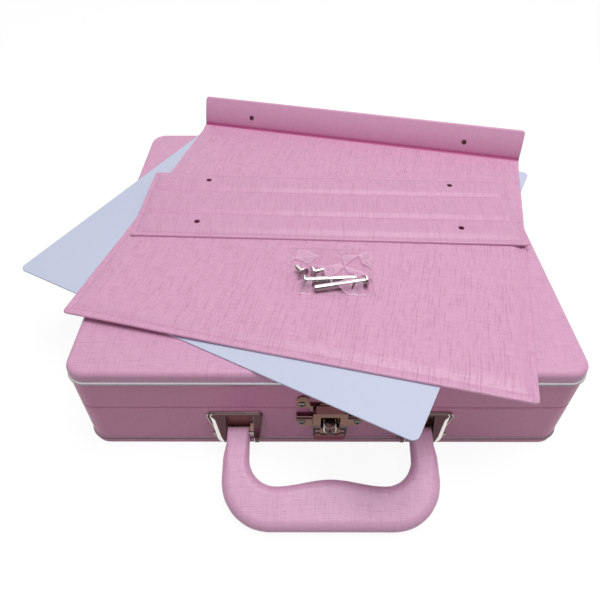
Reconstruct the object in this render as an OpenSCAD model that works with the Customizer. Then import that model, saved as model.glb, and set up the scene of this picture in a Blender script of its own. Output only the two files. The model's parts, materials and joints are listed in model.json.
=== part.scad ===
// Lidded carrying case with a post-bound album kit lying on its lid.
// Origin: middle of the underside. +Z up, the handle and clasp face -Y.

/* [Case] */
// Width of the case, left to right
case_w = 330; // [310:1:360]
// Depth of the case, front to back
case_d = 300; // [290:1:330]
// Height of the base, floor to rim
base_h = 44.2; // [43:0.1:55]
// Height of the lid, rim to top
lid_h = 35.4; // [34:0.1:45]
// Gap between the two rims
rim_gap = 0.4; // [0.3:0.1:0.8]
// Radius of the four upright corners
corner_r = 13; // [9:0.5:18]
// Thickness of the side walls
wall_t = 5.5; // [5:0.1:7]
// Thickness of the top and bottom panels
panel_t = 4; // [3:0.1:4.5]
// Rounding of the lid's top edge
top_edge_r = 4; // [2:0.5:4]
// Rounding of the bottom edge
bottom_edge_r = 2; // [1:0.5:2.4]
// Side height of the lid's top panel, above its piping
lid_cap_h = 8.1; // [8:0.1:10]
// Side height of the bottom panel, below its piping
base_tray_h = 4.9; // [4.8:0.1:6]
// Thickness of the fabric lining
lining_t = 0.8; // [0.5:0.1:1.2]
// Rounding of the base rim's outer edge
base_rim_r = 1.9; // [0.6:0.1:2.2]
// Rounding of the lid rim's outer edge
lid_rim_r = 0.6; // [0.4:0.1:1.6]
// How far the lining stops short of the rims
lining_drop = 1; // [0.5:0.1:2]

/* [Piping] */
// Radius of the piping's bead
bead_r = 1.8; // [1.5:0.1:2]
// How far the bead stands out of the wall
bead_out = 1; // [0.5:0.1:1.4]

/* [Back hinges] */
// Distance of each hinge from the middle
hinge_x = 95; // [60:1:120]
// Length of a hinge
hinge_len = 38; // [36:1:50]
// Height of one leaf from the hinge line
leaf_h = 15; // [14:0.5:18]
// Thickness of a leaf
leaf_t = 1; // [0.8:0.1:1.2]
// Outer radius of the knuckles
knuckle_r = 2.3; // [2:0.1:2.5]
// Number of knuckles on a hinge
knuckles = 5; // [3:2:7]
// Gap between neighbouring knuckles
knuckle_gap = 0.4; // [0.3:0.1:0.6]
// Radius of the hinge pin
hinge_pin_r = 1; // [0.8:0.1:1.2]
// Distance of the leaf screws from the middle of the hinge
leaf_screw_x = 12; // [10:0.5:14]

/* [Screws] */
// Radius of the small round heads
screw_head_r = 2.25; // [2:0.05:2.5]
// Height of the small round heads
screw_head_h = 1.2; // [0.8:0.1:1.5]
// Radius of a screw shank
screw_r = 1.2; // [1:0.1:1.4]
// Length of a screw shank in the wall
screw_len = 4; // [3:0.5:4.5]

/* [Handle] */
// How far the handle and clasp sit to the right of the middle
front_x = 3; // [-10:0.5:10]
// Height of the handle's pivots above the floor
pivot_z = 21.5; // [20:0.5:24]
// Distance of the pivots from the front wall
pivot_out = 5.5; // [5.2:0.1:6]
// Thickness of the grip
grip_t = 13; // [12:0.5:14]
// Thickness of the arms at the pivots
arm_end_t = 9; // [8:0.5:9.5]
// Reach of the handle from its pivots to the outer edge
handle_reach = 61.5; // [58:0.5:66]
// Half of the handle's outer width
handle_half_w = 71.1; // [68:0.5:76]
// Radius of the two outer corners
handle_outer_r = 32; // [26:1:36]
// Radius of the two inner corners
handle_inner_r = 18; // [14:1:20]
// Width of the arms
arm_w = 17.6; // [16:0.2:18]
// Width of the arms at the pivots
arm_end_w = 17.2; // [14:0.2:17.2]
// How far the arms' middle lines lie in from the handle's sides, beyond half an arm
arm_set_in = 2.1; // [1.3:0.1:2.4]
// Inner edge of the grip beside its hump, from the pivots
grip_inner = 34.2; // [32:0.5:36]
// Height of the hump on the grip's inner edge
grip_hump = 4.3; // [0:0.1:6]
// Thickness of the steel strap in the handle
strap_t = 2.4; // [2:0.1:3]
// Width of the steel strap
strap_w = 8; // [6:0.5:9]
// Radius of the strap's eyes
eye_r = 3.4; // [3:0.1:3.8]
// Length of the strap's eyes
eye_len = 11; // [8:0.5:12]

/* [Handle brackets] */
// Half of the slot that takes the handle's arm
slot_half = 9; // [8.8:0.1:9.4]
// Top of the bracket above the floor
bracket_top = 40; // [38:0.5:42]
// Height of the bracket
bracket_h = 31; // [30:0.5:31]
// Reach of the bracket's rim, away from the handle's middle
rim_outer = 22.4; // [21:0.2:24]
// Reach of the bracket's rim, towards the handle's middle
rim_inner = 15.6; // [15:0.2:17]
// Thickness of the bracket's rim
rim_t = 1.1; // [1:0.1:1.4]
// How far the bracket's nose stands out of the wall
bracket_out = 9.2; // [8.8:0.1:10.4]
// Radius of the handle's pivot pins
pivot_r = 1.5; // [1.3:0.1:1.7]

/* [Clasp] */
// Thickness of the clasp's plates
plate_t = 1.1; // [1:0.1:1.2]
// Half of the base plate's width
ears_half = 22.4; // [22:0.2:24]
// Half of the draw loop's and lever's width
loop_half = 11.4; // [11:0.1:11.4]
// Half of the draw loop's window
window_half = 6.4; // [6.4:0.1:6.6]
// Radius of the lock's round housing
lock_r = 5.85; // [5.5:0.05:5.9]
// How far the lock's housing stands out of the wall
lock_out = 8.3; // [8:0.1:8.6]
// Radius of the lock's plug
plug_r = 2.8; // [2.4:0.1:3]
// Height of the lock's middle above the floor
lock_z = 28.5; // [28:0.1:29]
// Height of the lever's pivots above the floor
lever_z = 30.5; // [30:0.1:31]
// Distance of the lever's pivots from the wall
lever_out = 3.4; // [3.3:0.1:3.6]
// Height of the loop's pins above the floor
loop_pin_z = 24; // [23.8:0.1:24.2]
// Distance of the loop's pins from the wall
loop_pin_out = 4.6; // [4.5:0.1:4.8]
// Radius of the clasp's pivots and pins
clasp_pin_r = 1; // [0.8:0.1:1.1]
// Radius of the rolls at the lever's top
roll_r = 2.8; // [2.6:0.1:2.9]
// Lowest point of the lever above the floor
lever_tip_z = 14.8; // [13:0.2:15.4]

/* [Album kit] */
// Side of the square white sheet
sheet_side = 307.5; // [295:0.5:310]
// Thickness of the white sheet
sheet_t = 1.2; // [0.8:0.1:2]
// Corner radius of the white sheet
sheet_r = 5; // [3:0.5:14]
// Width of the cover board
cover_w = 307.5; // [295:0.5:310]
// Depth of the cover board, front edge to crease
cover_d = 272; // [262:1:275]
// Thickness of the padded cover board
cover_t = 4; // [3.4:0.1:5]
// Thickness of the stiff board in each padded piece
core_t = 1.6; // [1:0.1:2]
// How far the stiff board stays inside a padded piece's edge
core_inset = 5; // [4:0.5:8]
// Height of the cover's raised flange
flange_h = 26.5; // [24:0.5:30]
// Thickness of the flange
flange_t = 3; // [2.4:0.1:3.6]
// Angle that the flange stands up at
flange_angle = 68; // [55:1:80]
// Height of the flange's holes above the crease
flange_hole_h = 10.5; // [9:0.5:14]
// Length of the spine strip
strip_len = 308; // [295:1:310]
// Width of the strip's middle band
spine_w = 32; // [30:0.5:34]
// Width of each outer band
band_w = 28.8; // [27:0.2:30]
// Thickness of the bands
band_t = 4.2; // [3.4:0.1:5]
// Gap that a fold of the strip leaves
fold_gap = 1.2; // [1:0.1:1.6]
// Gap that the flange's crease leaves
crease_gap = 0.4; // [0.3:0.1:1]
// Radius of the post holes
post_hole_r = 2.7; // [2.65:0.05:3]
// Distance between the two holes of a row
hole_pitch = 207; // [200:1:212]
// Distance of the holes from a band's outer edge
hole_edge = 15.3; // [13.5:0.1:16.4]

/* [Posts and bag] */
// Radius of a screw post
post_r = 2.5; // [2:0.1:2.6]
// Length of a screw post under its head
post_len = 36; // [30:0.5:40]
// Radius of the posts' and cap screws' heads
post_head_r = 4.3; // [4:0.1:4.6]
// Thickness of the heads
post_head_h = 1.4; // [1:0.1:1.8]
// Length of a cap screw under its head
cap_screw_len = 8; // [6:0.5:10]
// Radius of a cap screw's thread
cap_screw_r = 1.6; // [1.4:0.1:1.8]
// Length of the clear bag
bag_l = 62; // [58:1:66]
// Width of the clear bag
bag_w = 49; // [46:1:52]
// Thickness of the bag's film
film_t = 0.4; // [0.3:0.1:0.6]

/* [Hidden] */

$fn = 64;
eps = 0.01;

// Running clearance of every pin in the piece that turns on it
run_gap = 0.05;
// Clearance of a pin in the piece it is fixed to
fit_gap = 0.02;
// Gap between faces that pass each other
pass_gap = 0.3;

// Case levels
front_y = -case_d / 2;
back_y = case_d / 2;
trim_h = 2 * bead_r;
lid_z = base_h + rim_gap;
top_z = lid_z + lid_h;
lid_trim_z = top_z - lid_cap_h - trim_h;
base_frame_z = base_tray_h + trim_h;
inner_w = case_w - 2 * wall_t;
inner_d = case_d - 2 * wall_t;
inner_r = corner_r - wall_t;

// Hinge line
hinge_z = base_h + rim_gap / 2;
hinge_y = back_y + knuckle_r + pass_gap;
leaf_screw_h = leaf_h - 5.5;

// Handle
handle_tilt = asin((pivot_z - grip_t / 2) / (handle_reach - grip_t / 2));
arm_x = handle_half_w - arm_w / 2 - arm_set_in;
bracket_nose_z = bracket_top - 20;
slot_back = pivot_out - arm_end_t / 2 - pass_gap - 0.1;

// Clasp levels
loop_t = 1;
loop_out = 6.8;
loop_top_z = lid_z + 2.2;
leg_bottom_z = loop_pin_z + 5.2;
ear_t = 1.6;
cheek_t = 0.8;
cheek_in = lock_r + 0.25;
arm_in = cheek_in + cheek_t + pass_gap;
arm_t = 1.2;
roll_in = window_half;
roll_out = loop_half - ear_t - 0.2;
lever_t = 1;
mid_plate_top = loop_pin_z - 3.6;
// The lock's dome: a ball cut flat a little wider than the plug
lock_face_r = plug_r + 0.45;
lock_dome_y = lock_out - sqrt(lock_r * lock_r - lock_face_r * lock_face_r);
rib_out = plate_t + 0.6;
lip_gap = pass_gap;

// Kit levels and places
sheet_z = top_z;
cover_z = sheet_z + sheet_t;
cover_top = cover_z + cover_t;
// The strip and the bag lie this little above the cover
lay_gap = 0.1;
strip_z = cover_top + lay_gap;
sheet_pos = [-17.1, 10.5];
sheet_turn = -27.7;
cover_pos = [4.2, -5.5];
cover_turn = -13.4;
strip_pos = [6, 17];
strip_turn = -2.3;
bag_pos = [4.5, -62];
bag_turn = -2;
post_z = strip_z + film_t + post_r + 0.1;

pink = "#d79fbe";
nickel = "#b9b4ac";
silver = "#d8dade";
lining_c = "#e9d5df";

// ---- helpers ----

// Rounded rectangle, centred
module rr2(w, d, r) {
    square([w - 2 * r, d], center = true);
    square([w, d - 2 * r], center = true);
    for (x = [-1, 1], y = [-1, 1])
        translate([x * (w / 2 - r), y * (d / 2 - r)])
            circle(r);
}

// Rounded rectangular block standing on z = 0
module rr(w, d, r, h) {
    linear_extrude(h)
        rr2(w, d, r);
}

// Bead that runs round a rounded rectangle, its middle line on w by d
module bead_ring(w, d, r, b) {
    for (s = [-1, 1]) {
        translate([-(w / 2 - r), s * d / 2, 0])
            rotate([0, 90, 0])
                cylinder(r = b, h = w - 2 * r);
        translate([s * w / 2, -(d / 2 - r), 0])
            rotate([-90, 0, 0])
                cylinder(r = b, h = d - 2 * r);
    }
    for (q = [[1, 1, 0], [-1, 1, 90], [-1, -1, 180], [1, -1, 270]])
        translate([q[0] * (w / 2 - r), q[1] * (d / 2 - r), 0])
            rotate([0, 0, q[2]])
                rotate_extrude(angle = 90)
                    translate([r, 0])
                        circle(b);
}

// Block with a rounded upper edge, standing on z = 0
module soft_top_block(w, d, r, h, e) {
    rr(w, d, r, h - e);
    rr(w - 2 * e, d - 2 * e, r - e, h);
    translate([0, 0, h - e])
        bead_ring(w - 2 * e, d - 2 * e, r - e, e);
}

// Ring of piping with a half-round outer edge
module trim_ring() {
    difference() {
        union() {
            rr(case_w - 2 * (bead_r - bead_out), case_d - 2 * (bead_r - bead_out),
                corner_r - (bead_r - bead_out), trim_h);
            translate([0, 0, bead_r])
                bead_ring(case_w - 2 * (bead_r - bead_out), case_d - 2 * (bead_r - bead_out),
                    corner_r - (bead_r - bead_out), bead_r);
        }
        translate([0, 0, -1])
            rr(inner_w, inner_d, inner_r, trim_h + 2);
    }
}

// Places its children on the front wall: x across, z up, their +y out of the wall
module on_front() {
    translate([front_x, front_y, 0])
        mirror([0, 1, 0])
            children();
}

// A bar along x
module bar_x(r, x0, x1) {
    translate([x0, 0, 0])
        rotate([0, 90, 0])
            cylinder(r = r, h = x1 - x0);
}

// A bar along y
module bar_y(r, y0, y1) {
    translate([0, y0, 0])
        rotate([-90, 0, 0])
            cylinder(r = r, h = y1 - y0);
}

// Extrudes an outline drawn in y and z along x
module along_x(x0, x1) {
    translate([x0, 0, 0])
        rotate([90, 0, 90])
            linear_extrude(x1 - x0)
                children();
}

// Extrudes an outline drawn in x and z along +y
module along_y(y0, y1) {
    translate([0, y1, 0])
        rotate([90, 0, 0])
            linear_extrude(y1 - y0)
                children();
}

// Round-headed screw: its head stands on y = 0 towards +y, its shank runs to -y
module screw(len) {
    difference() {
        union() {
            bar_y(screw_head_r, 0, 0.5 * screw_head_h);
            translate([0, 0.5 * screw_head_h, 0])
                rotate([-90, 0, 0])
                    cylinder(r1 = screw_head_r, r2 = 0.62 * screw_head_r, h = 0.5 * screw_head_h);
            bar_y(screw_r, -len, eps);
        }
        for (turn = [0, 90])
            rotate([0, turn, 0])
                translate([-1.3, screw_head_h - 0.6, -0.25])
                    cube([2.6, 1, 0.5]);
    }
}

// ---- case ----

// Screw places on the front wall: [x, z]
clasp_screw_x = ears_half - 3.7;
clasp_screw_xz = [[-clasp_screw_x, lock_z + 0.8], [clasp_screw_x, lock_z + 0.8]];
strike_screw_xz = [[-clasp_screw_x, lid_z + 5.2], [clasp_screw_x, lid_z + 5.2]];
// Screws that hold a bracket, measured from its slot: [outwards, z]
bracket_screw_z = bracket_top - 9;
bracket_screw_uz = [[slot_half + 4.2, bracket_screw_z], [-slot_half - 2.7, bracket_screw_z]];
bracket_screw_bite = 4.5;

module front_wall_bores(places, depth) {
    on_front()
        for (p = places)
            translate([p[0], 0, p[1]])
                bar_y(screw_r, -depth, 1);
}

module bracket_bores(y0, y1, r) {
    on_front()
        for (side = [-1, 1], p = bracket_screw_uz)
            translate([side * (arm_x + p[0]), 0, p[1]])
                bar_y(r, y0, y1);
}

module hinge_screw_places(up) {
    for (side = [-1, 1], s = [-1, 1])
        translate([side * hinge_x + s * leaf_screw_x, back_y, hinge_z + up * leaf_screw_h])
            children();
}

module base_frame() {
    color(pink)
        difference() {
            translate([0, 0, base_frame_z])
                soft_top_block(case_w, case_d, corner_r, base_h - base_frame_z, base_rim_r);
            translate([0, 0, base_frame_z - 1])
                rr(inner_w, inner_d, inner_r, base_h);
            front_wall_bores(clasp_screw_xz, screw_len);
            bracket_bores(-wall_t - 1, 1, screw_r);
            hinge_screw_places(-1)
                bar_y(screw_r, -screw_len, 1);
        }
}

module base_bottom_panel() {
    color(pink)
        difference() {
            translate([0, 0, base_tray_h])
                mirror([0, 0, 1])
                    soft_top_block(case_w, case_d, corner_r, base_tray_h, bottom_edge_r);
            translate([0, 0, panel_t])
                rr(inner_w, inner_d, inner_r, base_tray_h);
        }
}

module base_trim() {
    color(silver)
        translate([0, 0, base_tray_h])
            trim_ring();
}

module lining(z0, z1, floor_z) {
    difference() {
        translate([0, 0, z0])
            rr(inner_w, inner_d, inner_r, z1 - z0);
        translate([0, 0, floor_z])
            rr(inner_w - 2 * lining_t, inner_d - 2 * lining_t, inner_r - lining_t,
                z1 - z0 - lining_t + 1);
    }
}

module base_lining() {
    color(lining_c)
        difference() {
            lining(panel_t, base_h - lining_drop, panel_t + lining_t);
            bracket_bores(-wall_t - lining_t - 1, 0, screw_r);
        }
}

module lid_top_panel() {
    color(pink)
        difference() {
            translate([0, 0, top_z - lid_cap_h])
                soft_top_block(case_w, case_d, corner_r, lid_cap_h, top_edge_r);
            translate([0, 0, top_z - lid_cap_h - 1])
                rr(inner_w, inner_d, inner_r, lid_cap_h + 1 - panel_t);
        }
}

module lid_trim() {
    color(silver)
        translate([0, 0, lid_trim_z])
            trim_ring();
}

module lid_frame() {
    color(pink)
        difference() {
            translate([0, 0, lid_trim_z])
                mirror([0, 0, 1])
                    soft_top_block(case_w, case_d, corner_r, lid_trim_z - lid_z, lid_rim_r);
            translate([0, 0, lid_z - 1])
                rr(inner_w, inner_d, inner_r, lid_h);
            front_wall_bores(strike_screw_xz, screw_len);
            hinge_screw_places(1)
                bar_y(screw_r, -screw_len, 1);
        }
}

module lid_lining() {
    color(lining_c)
        difference() {
            translate([0, 0, lid_z + lining_drop])
                rr(inner_w, inner_d, inner_r, lid_h - panel_t - lining_drop);
            translate([0, 0, lid_z])
                rr(inner_w - 2 * lining_t, inner_d - 2 * lining_t, inner_r - lining_t,
                    lid_h - panel_t - lining_t);
        }
}

// ---- back hinges ----

pitch = (hinge_len + knuckle_gap) / knuckles;

// One leaf: up = 1 for the lid's, -1 for the base's; first = 0 or 1 picks its knuckles
module hinge_leaf(up, first) {
    difference() {
        union() {
            translate([-hinge_len / 2, back_y, up > 0 ? hinge_z + knuckle_r + pass_gap : hinge_z - leaf_h])
                cube([hinge_len, leaf_t, leaf_h - knuckle_r - pass_gap]);
            for (k = [first : 2 : knuckles - 1])
                translate([-hinge_len / 2 + k * pitch, 0, 0]) {
                    translate([0, back_y, up > 0 ? hinge_z : hinge_z - knuckle_r - 1])
                        cube([pitch - knuckle_gap, leaf_t, knuckle_r + 1]);
                    translate([0, hinge_y, hinge_z])
                        bar_x(knuckle_r, 0, pitch - knuckle_gap);
                }
        }
        translate([0, hinge_y, hinge_z])
            bar_x(hinge_pin_r + (up > 0 ? run_gap : 0), -hinge_len, hinge_len);
        for (s = [-1, 1])
            translate([s * leaf_screw_x, back_y, hinge_z + up * leaf_screw_h])
                bar_y(screw_r, -1, leaf_t + 1);
    }
}

module base_hinge_leaves() {
    color(nickel)
        for (side = [-1, 1])
            translate([side * hinge_x, 0, 0])
                hinge_leaf(-1, 0);
}

module lid_hinge_leaves() {
    color(nickel)
        for (side = [-1, 1])
            translate([side * hinge_x, 0, 0])
                hinge_leaf(1, 1);
}

module hinge_pins() {
    color(nickel)
        for (side = [-1, 1])
            translate([side * hinge_x, hinge_y, hinge_z])
                bar_x(hinge_pin_r, -hinge_len / 2, hinge_len / 2);
}

module leaf_screws(up) {
    color(nickel)
        hinge_screw_places(up)
            translate([0, leaf_t, 0])
                screw(screw_len + leaf_t);
}

module base_hinge_screws() { leaf_screws(-1); }

module lid_hinge_screws() { leaf_screws(1); }

// ---- handle brackets ----

// Outline of a bracket's rim; x runs away from the handle's middle
module rim_outline() {
    low = bracket_top - bracket_h;
    hull() {
        translate([rim_outer - 5, bracket_top - 5]) circle(5, $fn = 32);
        translate([-rim_inner + 4, bracket_top - 4]) circle(4, $fn = 32);
        translate([-rim_inner + 5.6, low + 2.5]) circle(2.5, $fn = 32);
        translate([rim_outer - 8.4, low + 2.5]) circle(2.5, $fn = 32);
    }
}

// Outline of the raised part inside the rim
module dome_outline() {
    low = bracket_top - bracket_h;
    hull() {
        translate([rim_outer - 7.2, bracket_top - 5]) circle(4, $fn = 32);
        translate([-rim_inner + 4, bracket_top - 4]) circle(3, $fn = 32);
        translate([-rim_inner + 5.6, low + 2.2]) circle(2, $fn = 32);
        translate([rim_outer - 10.5, low + 2.2]) circle(2, $fn = 32);
    }
}

// Side view of the raised part: y out of the wall
module dome_profile() {
    polygon([
        [0, bracket_top],
        [rim_t + 0.8, bracket_top - 1],
        [bracket_out - 0.5, bracket_nose_z + 1.5],
        [bracket_out, bracket_nose_z - 1],
        [bracket_out - 0.3, bracket_nose_z - 4.2],
        [bracket_out - 2.2, bracket_nose_z - 7],
        [0, bracket_top - bracket_h]
    ]);
}

// side = 1 for the right bracket, -1 for the left
module handle_bracket(side) {
    on_front()
        translate([side * arm_x, 0, 0])
            mirror([side > 0 ? 0 : 1, 0, 0])
                difference() {
                    union() {
                        along_y(0, rim_t)
                            rim_outline();
                        intersection() {
                            along_y(0, bracket_out + 1)
                                dome_outline();
                            along_x(-rim_inner, rim_outer)
                                dome_profile();
                        }
                    }
                    translate([-slot_half, slot_back, -1])
                        cube([2 * slot_half, bracket_out, bracket_top - 1.5]);
                    translate([0, pivot_out, pivot_z])
                        bar_x(pivot_r + fit_gap, -rim_outer - 1, rim_outer + 1);
                    for (p = bracket_screw_uz)
                        translate([p[0], 0, p[1]])
                            bar_y(screw_r, -1, bracket_screw_bite);
                }
}

module left_handle_bracket() {
    color(nickel)
        handle_bracket(-1);
}

module right_handle_bracket() {
    color(nickel)
        handle_bracket(1);
}

module handle_pivot_pins() {
    color(nickel)
        on_front()
            for (side = [-1, 1])
                translate([side * arm_x, pivot_out, pivot_z])
                    mirror([side > 0 ? 0 : 1, 0, 0])
                        bar_x(pivot_r, -rim_inner + 3, rim_outer - 4);
}

// Screws driven from inside the base into the backs of the brackets
module bracket_screws() {
    inside = wall_t + lining_t;
    color(nickel)
        on_front()
            for (side = [-1, 1], p = bracket_screw_uz)
                translate([side * (arm_x + p[0]), -inside, p[1]])
                    mirror([0, 1, 0])
                        screw(inside + bracket_screw_bite);
}

// ---- handle ----

// Points of an arc about c, from angle a0 to a1
function arc(c, r, a0, a1, n) = [for (i = [0 : n]) let (a = a0 + (a1 - a0) * i / n)
    [c[0] + r * cos(a), c[1] + r * sin(a)]];

// Inner edge of the grip: a soft hump between two inner corners
function hump(x, span) = grip_inner - grip_hump * (1 + cos(180 * x / span)) / 2;

// Right half of the handle's outline, moved inwards by e; y runs from the pivots to the grip
function handle_half(e) = let (
        ro = handle_outer_r - e,
        ri = handle_inner_r + e,
        xo = handle_half_w - e,
        xi = handle_half_w - arm_w + e,
        span = xi - e - handle_inner_r,
        end_out = arm_end_w / 2 + arm_x - e,
        hump_n = 8)
    concat(
        [[0, handle_reach - e]],
        arc([xo - ro, handle_reach - e - ro], ro, 90, 0, 14),
        [[xo, 16], [end_out + 0.4, 5], [end_out, -5], [xi, -5]],
        arc([xi - ri, grip_inner + e - ri], ri, 0, 90, 10),
        [for (i = [hump_n - 1 : -1 : 0]) [span * i / hump_n, hump(span * i / hump_n, span) + e]]);

function mirrored(pts) = [for (i = [len(pts) - 1 : -1 : 0]) if (pts[i][0] > eps) [-pts[i][0], pts[i][1]]];

// Lays out the handle: children's x across, their y from the pivots to the grip
module in_handle_plane() {
    translate([front_x, front_y - pivot_out, pivot_z])
        rotate([handle_tilt, 0, 0])
            mirror([0, 1, 0])
                children();
}

// Side view of the handle: y from the pivots to the grip
module handle_profile() {
    circle(arm_end_t / 2);
    polygon([
        [0, -arm_end_t / 2], [28, -grip_t / 2], [handle_reach + 1, -grip_t / 2],
        [handle_reach + 1, grip_t / 2], [28, grip_t / 2], [0, arm_end_t / 2]
    ]);
}

// Steel strap with an eye at each pivot
module strap_body() {
    strap_far = handle_reach - grip_t / 2 - 3;
    half = handle_half_w - 5.4;
    inner_half = half - strap_w;
    outer = [[half, 0], [half, strap_far - 14], [half - 9, strap_far], [-1, strap_far]];
    inner = [[-1, strap_far - strap_w], [inner_half - 4, strap_far - strap_w],
        [inner_half, strap_far - 15], [inner_half, 0]];
    for (m = [0, 1])
        mirror([m, 0, 0]) {
            translate([0, 0, -strap_t / 2])
                linear_extrude(strap_t)
                    polygon(concat(outer, inner));
            bar_x(eye_r, arm_x - eye_len / 2, arm_x + eye_len / 2);
        }
}

module handle_grip() {
    half = handle_half(grip_t / 2);
    color(pink)
        in_handle_plane()
            difference() {
                intersection() {
                    minkowski() {
                        translate([0, 0, -eps / 2])
                            linear_extrude(eps)
                                polygon(concat(half, mirrored(half)));
                        sphere(grip_t / 2 - eps / 2, $fn = 16);
                    }
                    along_x(-handle_half_w - 1, handle_half_w + 1)
                        handle_profile();
                }
                strap_body();
                bar_x(pivot_r + pass_gap, -handle_half_w - 5, handle_half_w + 5);
            }
}

module handle_strap() {
    color(nickel)
        in_handle_plane()
            difference() {
                strap_body();
                bar_x(pivot_r + run_gap, -handle_half_w - 5, handle_half_w + 5);
            }
}

// ---- clasp on the base ----

bar_r = 2.2;
bar_z = lever_z + 6.5;
ear_top = bar_z + 2;
ear_low = lever_z - 6.2;
ear_corner = 7;

module clasp_base_plate() {
    color(nickel)
        on_front()
            difference() {
                union() {
                    along_y(0, plate_t)
                        translate([-loop_half + 0.2, lever_tip_z])
                            square([2 * (loop_half - 0.2), ear_top - lever_tip_z]);
                    for (m = [0, 1])
                        mirror([m, 0, 0]) {
                            along_y(0, plate_t) {
                                translate([loop_half - 1, ear_low])
                                    square([ears_half - ear_corner - loop_half + 1, ear_top - ear_low]);
                                translate([loop_half - 1, ear_low + ear_corner])
                                    square([ears_half - loop_half + 1, ear_top - ear_low - ear_corner]);
                                translate([ears_half - ear_corner, ear_low + ear_corner])
                                    circle(ear_corner);
                            }
                            translate([0, bar_r, bar_z])
                                bar_x(bar_r, loop_half + 0.4, ears_half - 0.1);
                            along_x(cheek_in, cheek_in + cheek_t) {
                                translate([lever_out, lever_z])
                                    circle(2);
                                translate([0, lever_z - 2])
                                    square([lever_out, 4]);
                            }
                        }
                }
                translate([0, lever_out, lever_z])
                    bar_x(clasp_pin_r, -loop_half, loop_half);
                for (p = clasp_screw_xz)
                    translate([p[0], 0, p[1]])
                        bar_y(screw_r, -1, plate_t + 1);
            }
}

module plate_screws(places) {
    color(nickel)
        on_front()
            for (p = places)
                translate([p[0], plate_t, p[1]])
                    screw(screw_len + plate_t);
}

module clasp_base_screws() { plate_screws(clasp_screw_xz); }

module lever_pivots() {
    color(nickel)
        on_front()
            for (m = [0, 1])
                mirror([m, 0, 0])
                    translate([0, lever_out, lever_z])
                        bar_x(clasp_pin_r, cheek_in, arm_in + arm_t + 0.2);
}

module lock_housing() {
    color(nickel)
        on_front()
            translate([0, 0, lock_z])
                rotate([-90, 0, 0])
                    rotate_extrude()
                        polygon(concat(
                            [[plug_r + run_gap, lock_out], [plug_r + run_gap, plate_t], [lock_r, plate_t]],
                            arc([0, lock_dome_y], lock_r, 0, acos(lock_face_r / lock_r), 8)));
}

module lock_plug() {
    color(nickel)
        on_front()
            translate([0, 0, lock_z])
                difference() {
                    bar_y(plug_r, plate_t, lock_out - 0.3);
                    translate([-0.45, lock_out - 2.3, -1.8])
                        cube([0.9, 4, 3.6]);
                }
}

// ---- lever and draw loop ----

// Outline of the lever seen from the front
module lever_front() {
    corner = min(5, (mid_plate_top - lever_tip_z) / 2);
    translate([-loop_half + 0.2, lever_tip_z + corner])
        square([2 * (loop_half - 0.2), mid_plate_top - lever_tip_z - corner]);
    translate([-loop_half + 0.2 + corner, lever_tip_z])
        square([2 * (loop_half - 0.2 - corner), corner + eps]);
    for (s = [-1, 1]) {
        translate([s * (loop_half - 0.2 - corner), lever_tip_z + corner])
            circle(corner);
        translate([s * (roll_in + roll_out) / 2 - (roll_out - roll_in) / 2, mid_plate_top - 1])
            square([roll_out - roll_in, loop_pin_z - mid_plate_top + 1]);
    }
}

// Side view of the lever's plate
module lever_side() {
    polygon([
        [loop_pin_out + 0.3, loop_pin_z], [loop_pin_out - 0.1, loop_pin_z - 5.4],
        [loop_pin_out + 0.5, lever_tip_z - 0.5], [loop_pin_out + 1.7, lever_tip_z - 0.5],
        [loop_pin_out + 1, loop_pin_z - 5.8], [loop_pin_out + 1.4, loop_pin_z]
    ]);
}

module clasp_lever() {
    reach = [loop_pin_out - lever_out, loop_pin_z - lever_z];
    color(nickel)
        on_front()
            difference() {
                union() {
                    intersection() {
                        along_x(-loop_half, loop_half)
                            lever_side();
                        along_y(0, 14)
                            lever_front();
                    }
                    for (m = [0, 1])
                        mirror([m, 0, 0]) {
                            translate([0, loop_pin_out, loop_pin_z])
                                bar_x(roll_r, roll_in, roll_out);
                            along_x(arm_in, arm_in + arm_t)
                                translate([lever_out, lever_z]) {
                                    circle(2);
                                    rotate(atan2(reach[1], reach[0]))
                                        translate([0, -2])
                                            square([norm(reach), 4]);
                                }
                        }
                }
                translate([0, lever_out, lever_z])
                    bar_x(clasp_pin_r + run_gap, -loop_half - 1, loop_half + 1);
                translate([0, loop_pin_out, loop_pin_z])
                    bar_x(clasp_pin_r + run_gap, -loop_half - 1, loop_half + 1);
            }
}

module draw_loop() {
    inside = loop_out - loop_t;
    color(nickel)
        on_front()
            difference() {
                union() {
                    along_y(inside, loop_out)
                        difference() {
                            translate([-loop_half, leg_bottom_z])
                                square([2 * loop_half, loop_top_z - leg_bottom_z]);
                            translate([-window_half, leg_bottom_z - 1])
                                square([2 * window_half, loop_top_z - 4 - leg_bottom_z + 1]);
                        }
                    along_x(-loop_half + 2.1, loop_half - 2.1)
                        polygon([
                            [inside, loop_top_z - 0.8], [loop_out, loop_top_z - 0.8],
                            [loop_out, loop_top_z], [rib_out + lip_gap + 0.6, loop_top_z + 3.2],
                            [rib_out + lip_gap, loop_top_z + 2.4], [inside, loop_top_z - 0.3]
                        ]);
                    for (m = [0, 1])
                        mirror([m, 0, 0])
                            along_x(loop_half - ear_t, loop_half) {
                                translate([loop_pin_out, loop_pin_z])
                                    circle(roll_r - 0.6);
                                translate([loop_pin_out - roll_r + 0.6, loop_pin_z])
                                    square([2 * roll_r - 1.2, leg_bottom_z + 1.8 - loop_pin_z]);
                            }
                }
                translate([0, loop_pin_out, loop_pin_z])
                    bar_x(clasp_pin_r, -loop_half - 1, loop_half + 1);
            }
}

module loop_pins() {
    color(nickel)
        on_front()
            for (m = [0, 1])
                mirror([m, 0, 0])
                    translate([0, loop_pin_out, loop_pin_z])
                        bar_x(clasp_pin_r, roll_in, loop_half);
}

// ---- strike on the lid ----

strike_half = 21.8;
strike_ear_r = 3.95;
strike_top = lid_z + 13.4;

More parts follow.
